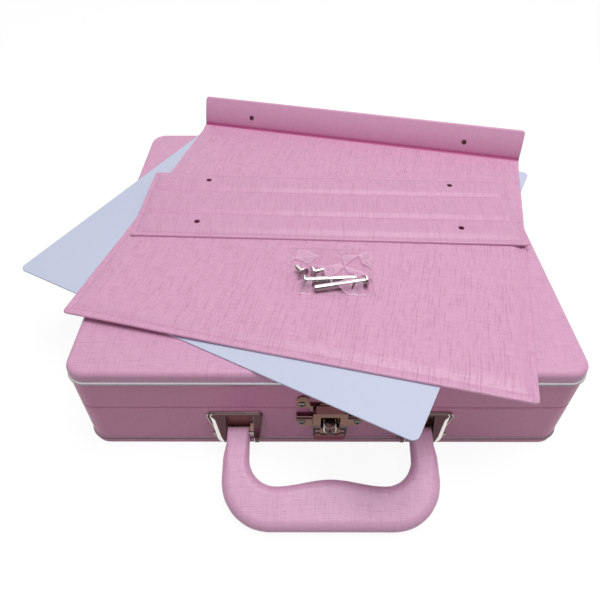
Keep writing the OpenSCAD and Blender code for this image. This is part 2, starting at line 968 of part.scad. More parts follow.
module strike_plate() {
    low = lid_z + 0.2;
    color(nickel)
        on_front()
            difference() {
                union() {
                    along_y(0, plate_t) {
                        translate([-strike_half + 2 * strike_ear_r, low])
                            square([2 * (strike_half - 2 * strike_ear_r), 5.7]);
                        for (s = [-1, 1]) {
                            translate([s * (strike_half - strike_ear_r) - strike_ear_r, low + 1.2])
                                square([2 * strike_ear_r, strike_top - strike_ear_r - low - 1.2]);
                            translate([s * (strike_half - strike_ear_r), strike_top - strike_ear_r])
                                circle(strike_ear_r);
                        }
                    }
                    along_x(-loop_half + 2.4, loop_half - 2.4)
                        polygon([
                            [0.5, low + 0.4], [rib_out, low + 0.4],
                            [rib_out, low + 3.2], [rib_out - 0.5, low + 3.7], [0.5, low + 3.7]
                        ]);
                    for (s = [-1, 1])
                        translate([s * (loop_half + 0.05) - 1.75, 0, low])
                            cube([3.5, 3, 5.7]);
                }
                for (p = strike_screw_xz)
                    translate([p[0], 0, p[1]])
                        bar_y(screw_r, -1, plate_t + 1);
            }
}

module strike_screws() { plate_screws(strike_screw_xz); }

// ---- album kit ----

flange_hole_shift = -1.5;
board_edge_r = 1.5;
board_corner_r = 3;
band_core_inset = 3;
row_y = spine_w / 2 + band_w - hole_edge;

module white_sheet() {
    color("#cdd2e6")
        translate([sheet_pos[0], sheet_pos[1], sheet_z])
            rotate([0, 0, sheet_turn])
                rr(sheet_side, sheet_side, sheet_r, sheet_t);
}

module on_cover() {
    translate([cover_pos[0], cover_pos[1], 0])
        rotate([0, 0, cover_turn])
            children();
}

module cover_core() {
    translate([0, 0, cover_z + (cover_t - core_t) / 2])
        rr(cover_w - 2 * core_inset, cover_d - 2 * core_inset, 2, core_t);
}

module cover_board() {
    color(pink)
        on_cover()
            difference() {
                union() {
                    translate([0, 0, cover_z])
                        soft_top_block(cover_w, cover_d, board_corner_r, cover_t, board_edge_r);
                    translate([-cover_w / 2 + board_corner_r, cover_d / 2 - board_corner_r, cover_z])
                        cube([cover_w - 2 * board_corner_r, board_corner_r, cover_t]);
                }
                cover_core();
            }
}

module cover_stiffener() {
    color("#b8a78c")
        on_cover()
            cover_core();
}

// Lays out the flange: y up the flange from its fold, z = 0 its inner face
module on_flange() {
    on_cover()
        translate([0, cover_d / 2 + crease_gap / 2, cover_top])
            rotate([flange_angle, 0, 0])
                children();
}

module flange_plate(inset, thick) {
    translate([0, (flange_h + crease_gap / 2) / 2, -flange_t / 2 - thick / 2])
        linear_extrude(thick)
            rr2(cover_w - 2 * inset, flange_h - crease_gap / 2 - 2 * inset, 2.5);
}

module flange_holes() {
    for (s = [-1, 1])
        translate([s * hole_pitch / 2 + flange_hole_shift, flange_hole_h, -flange_t - 1])
            cylinder(r = post_hole_r, h = flange_t + 2);
}

module flange_core() {
    flange_plate(band_core_inset, core_t - 0.4);
}

module cover_flange() {
    color(pink)
        on_flange()
            difference() {
                flange_plate(0, flange_t);
                flange_core();
                flange_holes();
            }
}

module flange_stiffener() {
    color("#b8a78c")
        on_flange()
            difference() {
                flange_core();
                flange_holes();
            }
}

module on_strip() {
    translate([strip_pos[0], strip_pos[1], strip_z])
        rotate([0, 0, strip_turn])
            children();
}

// side = 0 for the middle band, -1 front, 1 back
function band_depth(side) = side == 0 ? spine_w - fold_gap : band_w - fold_gap / 2;
function band_y(side) = side * (spine_w / 2 + fold_gap / 2 + band_depth(side) / 2);

module band_core(side) {
    translate([0, band_y(side), (band_t - core_t) / 2])
        rr(strip_len - 2 * band_core_inset, band_depth(side) - 2 * band_core_inset, 1.5, core_t);
}

module band_holes(side) {
    if (side != 0)
        for (s = [-1, 1])
            translate([s * hole_pitch / 2, side * row_y, -1])
                cylinder(r = post_hole_r, h = band_t + 2);
}

module band(side) {
    color(pink)
        on_strip()
            difference() {
                translate([0, band_y(side), 0])
                    soft_top_block(strip_len, band_depth(side), board_corner_r, band_t, board_edge_r);
                band_core(side);
                band_holes(side);
            }
}

module band_stiffener(side) {
    color("#b8a78c")
        on_strip()
            difference() {
                band_core(side);
                band_holes(side);
            }
}

module spine_band() { band(0); }

module front_band() { band(-1); }

module back_band() { band(1); }

module spine_stiffener() { band_stiffener(0); }

module front_band_stiffener() { band_stiffener(-1); }

module back_band_stiffener() { band_stiffener(1); }

// ---- posts in their clear bag ----

pouch_h = 2 * (post_head_r + film_t) + 0.4;
pouch_w = 0.9 * bag_l;
pouch_d = 0.66 * bag_w;
pouch_y = -bag_w / 2 + pouch_d / 2;
axis_z = film_t + post_head_r + 0.05;
post_tilt = asin((post_head_r - post_r) / post_len);

module on_bag() {
    translate([bag_pos[0], bag_pos[1], strip_z])
        rotate([0, 0, bag_turn])
            children();
}

module post_bag() {
    color("#e3c7d8")
        on_bag()
            difference() {
                union() {
                    rr(bag_l, bag_w, 2, 2 * film_t);
                    translate([0, pouch_y, 0])
                        rr(pouch_w, pouch_d, 6, pouch_h);
                }
                translate([0, pouch_y, film_t])
                    rr(pouch_w - 2 * film_t, pouch_d - 2 * film_t, 6 - film_t, pouch_h - 2 * film_t);
            }
}

// A headed rod lying on its side: head at the start, rod along +x
module lying(r, len, tilt) {
    translate([0, 0, axis_z])
        rotate([0, tilt, 0]) {
            bar_x(post_head_r, -post_head_h, 0);
            bar_x(r, -eps, len);
        }
}

// The first post leans this far off the bag's long side, the second the other way
post_lean = 11.2;
other_lean = 8.7;
post_y = -bag_w / 2 + film_t + post_r + post_len * sin(post_lean) + 0.5;
other_y = post_y - 0.185 * post_len + 2.04 * post_r + 0.5;

module screw_posts() {
    color(silver)
        on_bag() {
            translate([0.683 * post_len, post_y, 0])
                rotate([0, 0, 180 + post_lean])
                    lying(post_r, post_len, post_tilt);
            translate([-0.478 * post_len, other_y, 0])
                rotate([0, 0, other_lean])
                    lying(post_r, post_len, post_tilt);
        }
}

module cap_screws() {
    color(silver)
        on_bag() {
            translate([-4.53 * post_head_r, other_y + 1.9 * post_head_r, 0])
                rotate([0, 0, 125])
                    lying(cap_screw_r, cap_screw_len, 0);
            translate([-2.67 * post_head_r, other_y + 2.14 * post_head_r, 0])
                rotate([0, 0, 20])
                    lying(cap_screw_r, cap_screw_len, 0);
        }
}

base_frame();
base_bottom_panel();
base_trim();
base_lining();
base_hinge_leaves();
hinge_pins();
base_hinge_screws();
left_handle_bracket();
right_handle_bracket();
handle_pivot_pins();
bracket_screws();
clasp_base_plate();
clasp_base_screws();
lever_pivots();
lock_housing();
lock_plug();
clasp_lever();
draw_loop();
loop_pins();
lid_top_panel();
lid_trim();
lid_frame();
lid_lining();
lid_hinge_leaves();
lid_hinge_screws();
strike_plate();
strike_screws();
handle_grip();
handle_strap();
white_sheet();
cover_board();
cover_stiffener();
cover_flange();
flange_stiffener();
spine_band();
front_band();
back_band();
spine_stiffener();
front_band_stiffener();
back_band_stiffener();
post_bag();
screw_posts();
cap_screws();
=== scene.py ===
"""Looks of the pink leatherette carrying case and the album kit that lies on its lid."""

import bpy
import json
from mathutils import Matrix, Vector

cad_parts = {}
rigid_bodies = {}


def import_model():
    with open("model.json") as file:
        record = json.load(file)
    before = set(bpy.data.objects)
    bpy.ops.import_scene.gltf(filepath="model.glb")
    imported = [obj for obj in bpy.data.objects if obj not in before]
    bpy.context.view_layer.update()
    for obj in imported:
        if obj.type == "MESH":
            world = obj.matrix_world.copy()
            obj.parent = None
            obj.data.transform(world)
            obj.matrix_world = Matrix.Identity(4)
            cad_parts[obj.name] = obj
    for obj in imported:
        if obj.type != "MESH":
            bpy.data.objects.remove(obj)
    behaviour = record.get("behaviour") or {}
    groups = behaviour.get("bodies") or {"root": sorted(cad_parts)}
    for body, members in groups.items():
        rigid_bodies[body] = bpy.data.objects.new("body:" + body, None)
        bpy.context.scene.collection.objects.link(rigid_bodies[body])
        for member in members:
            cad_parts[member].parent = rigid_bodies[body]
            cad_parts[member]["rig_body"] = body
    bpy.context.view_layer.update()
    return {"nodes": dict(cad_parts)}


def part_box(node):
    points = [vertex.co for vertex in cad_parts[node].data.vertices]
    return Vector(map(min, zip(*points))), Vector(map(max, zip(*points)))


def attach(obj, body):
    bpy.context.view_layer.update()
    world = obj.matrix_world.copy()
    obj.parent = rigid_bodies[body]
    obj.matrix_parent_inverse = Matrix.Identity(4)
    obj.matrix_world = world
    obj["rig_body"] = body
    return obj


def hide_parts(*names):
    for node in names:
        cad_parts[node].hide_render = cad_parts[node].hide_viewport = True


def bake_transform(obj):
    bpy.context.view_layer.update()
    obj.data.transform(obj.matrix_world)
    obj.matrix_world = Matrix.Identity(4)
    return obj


bl_info = {
    "name": "Bobbin Box",
    "version": (1, 0, 0),
    "blender": (4, 5, 0),
    "location": "3D View > Sidebar > Bobbin Box",
    "description": "Dresses the carrying case and its post-bound album kit",
    "category": "Add Mesh",
}

import json
import math
from functools import cache
from math import cos, exp, hypot, radians, sin, sqrt

import bmesh
import bpy
from bpy.props import (
    FloatProperty,
    FloatVectorProperty,
    IntProperty,
    PointerProperty,
)
from mathutils import Matrix, Vector, noise
from mathutils.geometry import delaunay_2d_cdt

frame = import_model()
MM = 0.001

COVER_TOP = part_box("cover_board")[1].z
STRIP_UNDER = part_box("spine_band")[0].z
BAG_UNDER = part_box("post_bag")[0].z
COVER_PLACE = (4.2 * MM, -5.5 * MM, radians(-13.4))
STRIP_PLACE = (6 * MM, 17 * MM, radians(-2.3))
BAG_PLACE = (4.5 * MM, -62 * MM, radians(-2))

COVER_SIZE = (307.5 * MM, 272 * MM, 4 * MM)
FLANGE_THICKNESS = 3 * MM
FLANGE_HEIGHT = 26.7 * MM
FLANGE_LEAN = radians(68)
STRIP_SIZE = (308 * MM, 4.2 * MM)
SPINE_WIDTH = 32 * MM
BAND_WIDTH = 28.8 * MM
CORNER_RADIUS = 3 * MM
HOLE_RADIUS = 2.3 * MM
HOLE_PITCH = 207 * MM
HOLE_EDGE = 15.3 * MM
FLANGE_HOLE_RISE = 10.5 * MM

# What a skin keeps clear of the piece it lies on
CLEAR = 0.05 * MM

# The handle's arms: the middle between them, their distance from it, and their slots
HANDLE_X = 3 * MM
ARM_X = 60.2 * MM
SLOT_HALF = 8.7 * MM
CASE_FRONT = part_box("base_frame")[0].y


# ---- settings ----


class LeatheretteSettings(bpy.types.PropertyGroup):
    """The embossed pink covering"""

    case_pink: FloatVectorProperty(
        name="Case pink", description="Covering of the case", subtype="COLOR",
        size=3, min=0, max=1, default=(0.72, 0.375, 0.565),
    )
    # Darker than the case's own pink: painted shade on the walls
    shaded_wall_pink: FloatVectorProperty(
        name="Wall pink", description="Covering of the case's walls", subtype="COLOR",
        size=3, min=0, max=1, default=(0.67, 0.265, 0.435),
    )
    cover_pink: FloatVectorProperty(
        name="Cover pink", description="Covering of the album cover", subtype="COLOR",
        size=3, min=0, max=1, default=(0.72, 0.37, 0.56),
    )
    strip_pink: FloatVectorProperty(
        name="Strip pink", description="Covering of the spine strip", subtype="COLOR",
        size=3, min=0, max=1, default=(0.685, 0.35, 0.535),
    )
    handle_pink: FloatVectorProperty(
        name="Handle pink", description="Covering of the handle", subtype="COLOR",
        size=3, min=0, max=1, default=(0.745, 0.405, 0.60),
    )
    deep_pink: FloatVectorProperty(
        name="Deep pink", description="Colour in the bottom of the embossing", subtype="COLOR",
        size=3, min=0, max=1, default=(0.30, 0.085, 0.185),
    )
    # Painted shade, laid along the flange's crease and the strip's folds
    fold_shade_pink: FloatVectorProperty(
        name="Flush pink", description="Colour where the covering is drawn into a fold",
        subtype="COLOR", size=3, min=0, max=1, default=(0.47, 0.07, 0.24),
    )
    # Painted shade, darkest, down holes and into creases
    dark_shade_pink: FloatVectorProperty(
        name="Crease pink", description="Colour in creases and holes", subtype="COLOR",
        size=3, min=0, max=1, default=(0.075, 0.008, 0.022),
    )
    light_pink: FloatVectorProperty(
        name="Light pink", description="Colour on the crests of the embossing", subtype="COLOR",
        size=3, min=0, max=1, default=(0.90, 0.60, 0.76),
    )
    emboss_depth: FloatProperty(
        name="Emboss depth", description="Depth of the crosshatch", unit="LENGTH",
        min=0, max=0.001, default=0.00010,
    )


class MetalSettings(bpy.types.PropertyGroup):
    # Brown on the fittings' fronts: a painted reflection
    nickel: FloatVectorProperty(
        name="Nickel", description="Plated fittings", subtype="COLOR",
        size=3, min=0, max=1, default=(0.20, 0.105, 0.075),
    )
    steel: FloatVectorProperty(
        name="Steel", description="Screws, pins and hinges", subtype="COLOR",
        size=3, min=0, max=1, default=(0.50, 0.48, 0.46),
    )
    silver: FloatVectorProperty(
        name="Silver", description="Piping round the case", subtype="COLOR",
        size=3, min=0, max=1, default=(0.56, 0.54, 0.57),
    )
    edge_round: FloatProperty(
        name="Edge round", description="Rounding of the fittings' edges", unit="LENGTH",
        min=0, max=0.001, default=0.00022,
    )


class CoverSettings(bpy.types.PropertyGroup):
    """The album cover and its flange"""

    rim_width: FloatProperty(
        name="Rim width", description="Sealed rim outside the seam", unit="LENGTH",
        min=0.002, max=0.008, default=0.0042,
    )
    rim_thickness: FloatProperty(
        name="Rim thickness", description="Thickness of the sealed rim", unit="LENGTH",
        min=0.0008, max=0.003, default=0.0021,
    )
    crown: FloatProperty(
        name="Crown", description="How far the padding stands up in the middle", unit="LENGTH",
        min=0, max=0.003, default=0.0006,
    )
    bend_radius: FloatProperty(
        name="Bend radius", description="Inside of the bend into the flange", unit="LENGTH",
        min=0.001, max=0.02, default=0.0022,
    )


class StripSettings(bpy.types.PropertyGroup):
    """The three-band spine strip"""

    groove_width: FloatProperty(
        name="Groove width", description="Half the width of each fold groove", unit="LENGTH",
        min=0.001, max=0.006, default=0.0045,
    )
    groove_thickness: FloatProperty(
        name="Groove thickness", description="Skin left at the bottom of a groove", unit="LENGTH",
        min=0.0006, max=0.004, default=0.0024,
    )


class BagSettings(bpy.types.PropertyGroup):
    """The clear bag of posts"""

    crumple: FloatProperty(
        name="Crumple", description="How far the film's facets stand up", unit="LENGTH",
        min=0, max=0.004, default=0.0028,
    )
    seed: IntProperty(name="Seed", description="Which crumple is used", default=7, min=0)


class StageSettings(bpy.types.PropertyGroup):
    """Floor, light and camera"""

    lamp_power: FloatProperty(
        name="Lamp", description="Power of the overhead lamp", unit="POWER",
        min=0, max=500, default=11.6,
    )
    sky: FloatProperty(
        name="Sky", description="Strength of the light from all round", min=0, max=2, default=0.31
    )
    focal_length: FloatProperty(
        name="Focal length", description="Lens in millimetres", min=10, max=200, default=32.719
    )


class BobbinBoxSettings(bpy.types.PropertyGroup):
    """Everything that can be changed"""

    leatherette: PointerProperty(type=LeatheretteSettings)
    metal: PointerProperty(type=MetalSettings)
    cover: PointerProperty(type=CoverSettings)
    strip: PointerProperty(type=StripSettings)
    bag: PointerProperty(type=BagSettings)
    stage: PointerProperty(type=StageSettings)


# ---- shading ----


class Tone:
    """A socket of a material's nodes that takes part in sums as a number does"""

    def __init__(self, finish, socket):
        self.finish, self.socket = finish, socket

    def maths(self, operation, *others):
        values = dict(enumerate((self, *others)))
        return self.finish.node("ShaderNodeMath", {"operation": operation}, values)

    def __add__(self, other):
        return self.maths("ADD", other)

    __radd__ = __add__

    def __sub__(self, other):
        return self.maths("SUBTRACT", other)

    def __rsub__(self, other):
        return self.finish.node("ShaderNodeMath", {"operation": "SUBTRACT"}, {0: other, 1: self})

    def __mul__(self, other):
        return self.maths("MULTIPLY", other)

    __rmul__ = __mul__

    def __truediv__(self, other):
        return self.maths("DIVIDE", other)

    def __rtruediv__(self, other):
        return self.finish.node("ShaderNodeMath", {"operation": "DIVIDE"}, {0: other, 1: self})

    def clipped(self):
        return self.finish.node(
            "ShaderNodeMath", {"operation": "ADD", "use_clamp": True}, {0: self, 1: 0.0}
        )

    def between(self, low, high):
        """0 below low, 1 above high, smooth in between"""
        return self.finish.node(
            "ShaderNodeMapRange",
            {"interpolation_type": "SMOOTHSTEP"},
            {"Value": self, "From Min": low, "From Max": high, "To Min": 0.0, "To Max": 1.0},
        )


class Finish:
    """A material, or the sky, while its nodes are being joined up"""

    def __init__(self, name, sky=None):
        self.owner = sky or bpy.data.materials.new(name)
        self.owner.use_nodes = True
        self.tree = self.owner.node_tree
        self.tree.nodes.clear()

    def node(self, kind, settings=None, sockets=None, out=0):
        """Adds a node: its settings first, then the values or links of its sockets"""
        made = self.tree.nodes.new(kind)
        for key, value in (settings or {}).items():
            if key == "stops":
                ramp = made.color_ramp
                while len(ramp.elements) < len(value):
                    ramp.elements.new(0.5)
                for element, (place, colour) in zip(ramp.elements, value):
                    element.position, element.color = place, (*colour, 1)
            else:
                setattr(made, key, value)
        for key, value in (sockets or {}).items():
            self.give(made.inputs[key], value)
        return Tone(self, made.outputs[out]) if made.outputs else None

    def give(self, socket, value):
        if isinstance(value, Tone):
            self.tree.links.new(value.socket, socket)
        elif hasattr(value, "__len__") and len(value) == 3 and socket.type == "RGBA":
            socket.default_value = (*value, 1)
        else:
            socket.default_value = value

    def place(self, turn=0.0, scale=(1, 1, 1)):
        """Object coordinates, turned to a piece's sides and scaled"""
        spot = self.node("ShaderNodeTexCoord", out="Object")
        spot = self.node(
            "ShaderNodeMapping", {"vector_type": "TEXTURE"},
            {"Vector": spot, "Rotation": (0, 0, turn)},
        )
        return self.node("ShaderNodeMapping", None, {"Vector": spot, "Scale": scale})

    def facing(self):
        """The three numbers of the direction a surface faces, on the piece itself"""
        return self.parts(self.node("ShaderNodeTexCoord", out="Normal"))

    def mark(self, name):
        """A number the mesh carries at each of its points"""
        return self.node("ShaderNodeAttribute", {"attribute_name": name}, out="Fac")

    def seen(self):
        """1 for what the camera sees, straight, in a reflection or through film"""
        sight, gloss, through = (
            self.node("ShaderNodeLightPath", out=f"Is {ray} Ray")
            for ray in ("Camera", "Glossy", "Transmission")
        )
        return sight.maths("MAXIMUM", gloss).maths("MAXIMUM", through)

    def parts(self, spot):
        """The three numbers of a place or a direction"""
        split = self.node("ShaderNodeSeparateXYZ", None, {"Vector": spot}).socket.node
        return [Tone(self, split.outputs[k]) for k in range(3)]

    def grain(self, spot, detail=2.0, scale=1.0):
        return self.node(
            "ShaderNodeTexNoise",
            {"noise_dimensions": "3D"},
            {"Vector": spot, "Scale": scale, "Detail": detail},
        )

    def threads(self, spot, axis, pitch, length, width, low=0.5, high=0.66):
        """Pressed lines at an even pitch across one axis, each broken into strokes of its own"""
        parts = self.parts(spot)
        wander = (self.grain(spot, 0.0, scale=30) - 0.5) * 0.9
        across = parts.pop(axis) / pitch + wander
        line = across.maths("FLOOR")
        middle = (across - line - 0.5).maths("ABSOLUTE")
        # Every line takes its strokes from another slice of the grain
        slices = {0: line * 3.37, 1: parts[0] / length, 2: parts[1] / length}
        seat = self.node("ShaderNodeCombineXYZ", None, slices)
        stroke = self.grain(seat, detail=1.0).between(low, high)
        return (1 - middle.between(width * 0.4, width)) * stroke

    def blend(self, low, high, share):
        """A colour between two, by a number"""
        return self.node(
            "ShaderNodeMix", {"data_type": "RGBA"}, {0: share, 6: low, 7: high}, out=2
        )

    def bump(self, height, depth, strength=1.0):
        return self.node(
            "ShaderNodeBump", None, {"Height": height, "Distance": depth, "Strength": strength}
        )

    def surface(self, **sockets):
        """The finish itself: a Principled surface with these sockets"""
        names = {
            key.replace("_", " ").title().replace("Ior", "IOR"): value
            for key, value in sockets.items()
        }
        shader = self.node("ShaderNodeBsdfPrincipled", None, names, out="BSDF")
        self.node("ShaderNodeOutputMaterial", None, {"Surface": shader})
        return self.owner


def settings():
    return bpy.context.scene.bobbin_box


def leatherette(
    name, pink, turn=0.0, along=1.0, across=1.0, streaks=0.3, grit=1.0, pitch=1.15 * MM
):
    """Linen-pressed leatherette: broken lines that cross, over a fine grain"""
    s = settings().leatherette
    f = Finish(name)
    spot = f.place(turn)
    # Each set of lines shows only where the surface lies across it, so a flat face has two
    lies = [1 - part.maths("ABSOLUTE") for part in f.facing()]
    long_lines = f.threads(spot, 0, pitch * 2, 20 * MM, 0.14, 0.47, 0.60)
    lines = f.threads(spot, 0, pitch, 8 * MM, 0.26, 0.44, 0.66)
    ticks = f.threads(spot, 1, pitch * 1.1, 7 * MM, 0.26, 0.46, 0.66)
    walls = f.threads(spot, 2, pitch * 1.1, 9 * MM, 0.24, 0.50, 0.66)
    lengthways = (long_lines * 0.75 + lines * 0.55) * lies[0] * along
    crossways = (ticks * lies[1] * 0.75 + walls * lies[2] * 0.7) * across
    # A drawn covering, as on the flange, shows less of its pressing
    calm = 1 - f.mark("calm") * 0.7
    pressed = (calm * (lengthways + crossways)).clipped()
    weave = sum(
        (f.grain(f.place(turn, scale), detail=1.0) - 0.5) * share
        for scale, share in zip(((1150, 110, 110), (110, 1050, 110), (110, 110, 1050)), lies)
    )
    speckle = f.grain(f.place(turn, (1900, 1500, 1900)), detail=1.0)
    cloud = f.grain(f.place(turn, (16, 16, 16)), detail=2.0)
    shade = (pressed * streaks + weave * (-0.30 * grit) + (0.5 - cloud) * 0.02).clipped()
    crests = speckle.between(0.55, 0.80) * 0.40 * grit
    light = (crests + (weave * grit).between(0.08, 0.5) * 0.14).clipped()
    colour = f.blend(f.blend(pink, s.deep_pink, shade), s.light_pink, light)
    # Painted shade where the mesh marks it: down holes, along creases and folds
    deep = f.mark("deep")
    colour = f.blend(colour, s.fold_shade_pink, (deep * 2).clipped())
    colour = f.blend(colour, s.dark_shade_pink, (deep * 2 - 1).clipped())
    height = weave * 0.6 - pressed * 0.9 + speckle * 0.4
    return f.surface(
        base_color=colour,
        roughness=0.44 + 0.2 * shade - 0.06 * light,
        normal=f.bump(height, s.emboss_depth, 0.7),
    )


def plated(name, stops, roughness, wear=0.03, flank=0, side_glints=0.0, shade_top=None):
    """Plated metal, its tone set by where it faces, from down (0) to up (1), as painted
    reflection and shade

    flank, -1 or 1, paints a highlight on the bevel of that side and a reflection on the floor of
    its slot; the share after it paints highlights on curves to either side; below the height
    given last, the metal gets painted shade, with highlights where it faces sideways.
    """
    f = Finish(name)
    x, y, z = f.facing()
    # The colour follows the way the surface faces: painted reflection and shade
    colour = f.node("ShaderNodeValToRGB", {"stops": stops}, {0: z * 0.5 + 0.5}, out="Color")
    if flank:
        # Painted highlight along the bevel on that side
        bevel = x * (0.42 * flank) - y * 0.905 + z * 0.03
        colour = f.blend(colour, (0.86, 0.81, 0.78), bevel.between(0.935, 0.965))
        # Painted reflection on the floor of the slot
        colour = f.blend(colour, (0.27, 0.155, 0.12), f.mark("recess"))
    if side_glints:
        # Painted highlights on curves to either side
        sideways = x.maths("ABSOLUTE")
        curve = sideways.between(0.55, 0.66) * (1 - sideways.between(0.74, 0.86))
        colour = f.blend(colour, (0.80, 0.72, 0.70), curve * side_glints)
    if shade_top:
        # Painted shade below the height, with painted highlights where it faces sideways
        height = f.parts(f.place())[2]
        upper = height.between(shade_top - 5 * MM, shade_top - 2 * MM)
        dark = f.blend((0.012, 0.008, 0.008), (0.13, 0.08, 0.072), upper)
        dark = f.blend(dark, (0.62, 0.56, 0.54), x.maths("ABSOLUTE").between(0.5, 0.9))
        colour = f.blend(dark, colour, height.between(shade_top - 0.4 * MM, shade_top))
    cloud = f.grain(f.place(0, (180, 180, 180)), detail=3.0)
    hair = f.grain(f.place(0.4, (90, 2200, 900)), detail=2.0)
    colour = f.blend(colour, (0.02, 0.012, 0.012), (0.5 - cloud).clipped() * 0.5)
    return f.surface(
        base_color=colour,
        metallic=0.86,
        roughness=roughness + wear * (hair - 0.5) + wear * (cloud - 0.5),
        normal=f.bump(hair, 0.02 * MM, 0.25),
    )


def even_metal(name, colour, roughness):
    """The same metal all over, with painted shade where it faces down and faint clouding"""
    return plated(name, ((0.0, tuple(c * 0.6 for c in colour)), (1.0, colour)), roughness, 0.05)


def card_white():
    """Smooth card with a faint blue cast and fibres"""
    f = Finish("card_white")
    fibre = f.grain(f.place(0.3, (700, 260, 700)), detail=3.0)
    cloud = f.grain(f.place(0, (9, 9, 9)), detail=1.0)
    share = ((fibre - 0.5) * 0.5 + (cloud - 0.5) * 0.8 + 0.5).clipped()
    colour = f.blend((0.57, 0.615, 0.78), (0.64, 0.685, 0.845), share)
    return f.surface(base_color=colour, roughness=0.62, normal=f.bump(fibre, 0.03 * MM, 0.3))


def lining_cloth():
    """Flocked lining"""
    f = Finish("lining_cloth")
    nap = f.grain(f.place(0, (1600, 1600, 1600)), detail=2.0)
    drift = f.grain(f.place(0, (40, 40, 40)), detail=2.0)
    share = ((nap - 0.5) * 1.2 + (drift - 0.5) + 0.5).clipped()
    colour = f.blend((0.55, 0.40, 0.48), (0.78, 0.64, 0.72), share)
    return f.surface(
        base_color=colour, roughness=0.95, sheen_weight=0.3, normal=f.bump(nap, 0.2 * MM, 0.6)
    )


def clear_film():
    """Thin crumpled film: clear facets, and milky facets and bright creases that are partly
    painted highlights
    """
    f = Finish("clear_film")
    patch = f.grain(f.place(0.5, (260, 180, 260)), detail=2.0)
    haze_and_glint = (f.mark("crease") * 0.40 + f.mark("milk") * (0.34 + patch * 0.62)).clipped()
    return f.surface(
        base_color=f.blend((0.72, 0.48, 0.64), (0.98, 0.62, 0.84), haze_and_glint),
        roughness=0.14 + 0.25 * haze_and_glint,
        alpha=0.06 + 0.70 * haze_and_glint,
        specular_ior_level=0.6,
    )


# ---- meshes ----


def clamp(t):
    return min(1.0, max(0.0, t))


def smooth(t):
    t = clamp(t)
    return t * t * (3 - 2 * t)


def mix(a, b, t):
    return a + (b - a) * t


def turned(place, x, y, z):
    """A point of a piece's own plan, in the row frame"""
    px, py, angle = place
    return Vector((px + x * cos(angle) - y * sin(angle), py + x * sin(angle) + y * cos(angle), z))


def direction(place, y, z):
    """A direction across a piece's own plan, in the row frame"""
    return turned((0, 0, place[2]), 0, y, z)


def plan(place, spot):
    """Where a point of the row frame lies on a piece's own plan"""
    px, py, angle = place
    x, y = spot.x - px, spot.y - py
    return x * cos(angle) + y * sin(angle), y * cos(angle) - x * sin(angle)


def spread(length, first, last, pitch):
    """Distances from 0 to length, close together at an end that has a seam"""
    fine = [0.15, 0.35, 0.6, 0.9, 1.4, 2.1, 2.9, 3.6, 4.1, 4.5, 4.9, 5.3, 5.8, 6.5, 7.4, 8.6, 10]
    fine = [v * MM for v in fine]
    head = fine if first else []
    tail = [length - v for v in reversed(fine)] if last else []
    start = head[-1] if head else 0.0
    stop = tail[0] if tail else length
    count = max(1, round((stop - start) / pitch))
    middle = [start + (stop - start) * k / count for k in range(1, count)]
    return [0.0, *head, *middle, *tail, length]


def leaf(columns, rows, place):
    """A closed leaf of two faces: place(x, y, side) gives a point, side 1 on top, 0 below"""
    bm = bmesh.new()
    nx, ny = len(columns) - 1, len(rows) - 1
    bmesh.ops.create_grid(bm, x_segments=nx, y_segments=ny, size=1.0)
    spots = {}
    for v in bm.verts:
        spots[v] = (columns[round((v.co.x + 1) / 2 * nx)], rows[round((v.co.y + 1) / 2 * ny)])
    rim = [e for e in bm.edges if e.is_boundary]
    copy = bmesh.ops.duplicate(bm, geom=bm.verts[:] + bm.edges[:] + bm.faces[:])
    twins = copy["vert_map"]
    under = [g for g in copy["geom"] if isinstance(g, bmesh.types.BMFace)]
    lower_rim = [copy["edge_map"][e] for e in rim]
    for v, (x, y) in spots.items():
        v.co = place(x, y, 1)
        twins[v].co = place(x, y, 0)
    bmesh.ops.reverse_faces(bm, faces=under)
    bmesh.ops.bridge_loops(bm, edges=rim + lower_rim)
    bmesh.ops.recalc_face_normals(bm, faces=bm.faces[:])
    return bm


def rounded_plan(x, y, half_w, low, high, radius, corners=(1, 1)):
    """Draws the corners of a plan in to a radius; corners says which ends in y have them"""
    across = half_w - abs(x)
    for end, wanted in ((low, corners[0]), (high, corners[1])):
        along = abs(y - end)
        if wanted and across < radius and along < radius:
            a, b = radius - across, radius - along
            scale = max(a, b) / max(hypot(a, b), 1e-9)
            x = math.copysign(half_w - radius + a * scale, x)
            y = end + (radius - b * scale) * (1 if end == low else -1)
            break
    return x, y


def plain_edge(d, full):
    """(top, underside) of a leaf with a fully rounded edge, at d from that edge"""
    half = full / 2
    curve = half * sqrt(max(0.0, 1 - (1 - min(d / half, 1.0)) ** 2))
    return half + curve, half - curve


def sealed_edge(d, full, rim, width, rise):
    """The same for a padded leaf: flat below; rim, seam and padding above"""
    top, low = plain_edge(d, rim)
    if d > width:
        top = mix(rim, full, smooth((d - width) / rise) ** 0.75)
    top -= 0.5 * MM * exp(-(((d - width) / (0.6 * MM)) ** 2))
    return top, low


def solid(name, bm):
    """An object made of a mesh that is then let go"""
    mesh = bpy.data.meshes.new(name)
    bm.to_mesh(mesh)
    bm.free()
    made = bpy.data.objects.new(name, mesh)
    bpy.context.scene.collection.objects.link(made)
    return made


def shown(name, bm, material, body, stands_for):
    """Makes the piece and says what it rides on, what it is made of and what it stands for"""
    for face in bm.faces:
        face.smooth = True
    piece = solid(name, bm)
    piece.data.materials.append(material)
    if body:
        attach(piece, body)
    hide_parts(*stands_for)
    return piece


def settle(piece):
    """Applies a piece's modifiers to its mesh"""
    graph = bpy.context.evaluated_depsgraph_get()
    mesh = bpy.data.meshes.new_from_object(piece.evaluated_get(graph))
    old = piece.data
    piece.modifiers.clear()
    piece.data = mesh
    bpy.data.meshes.remove(old)


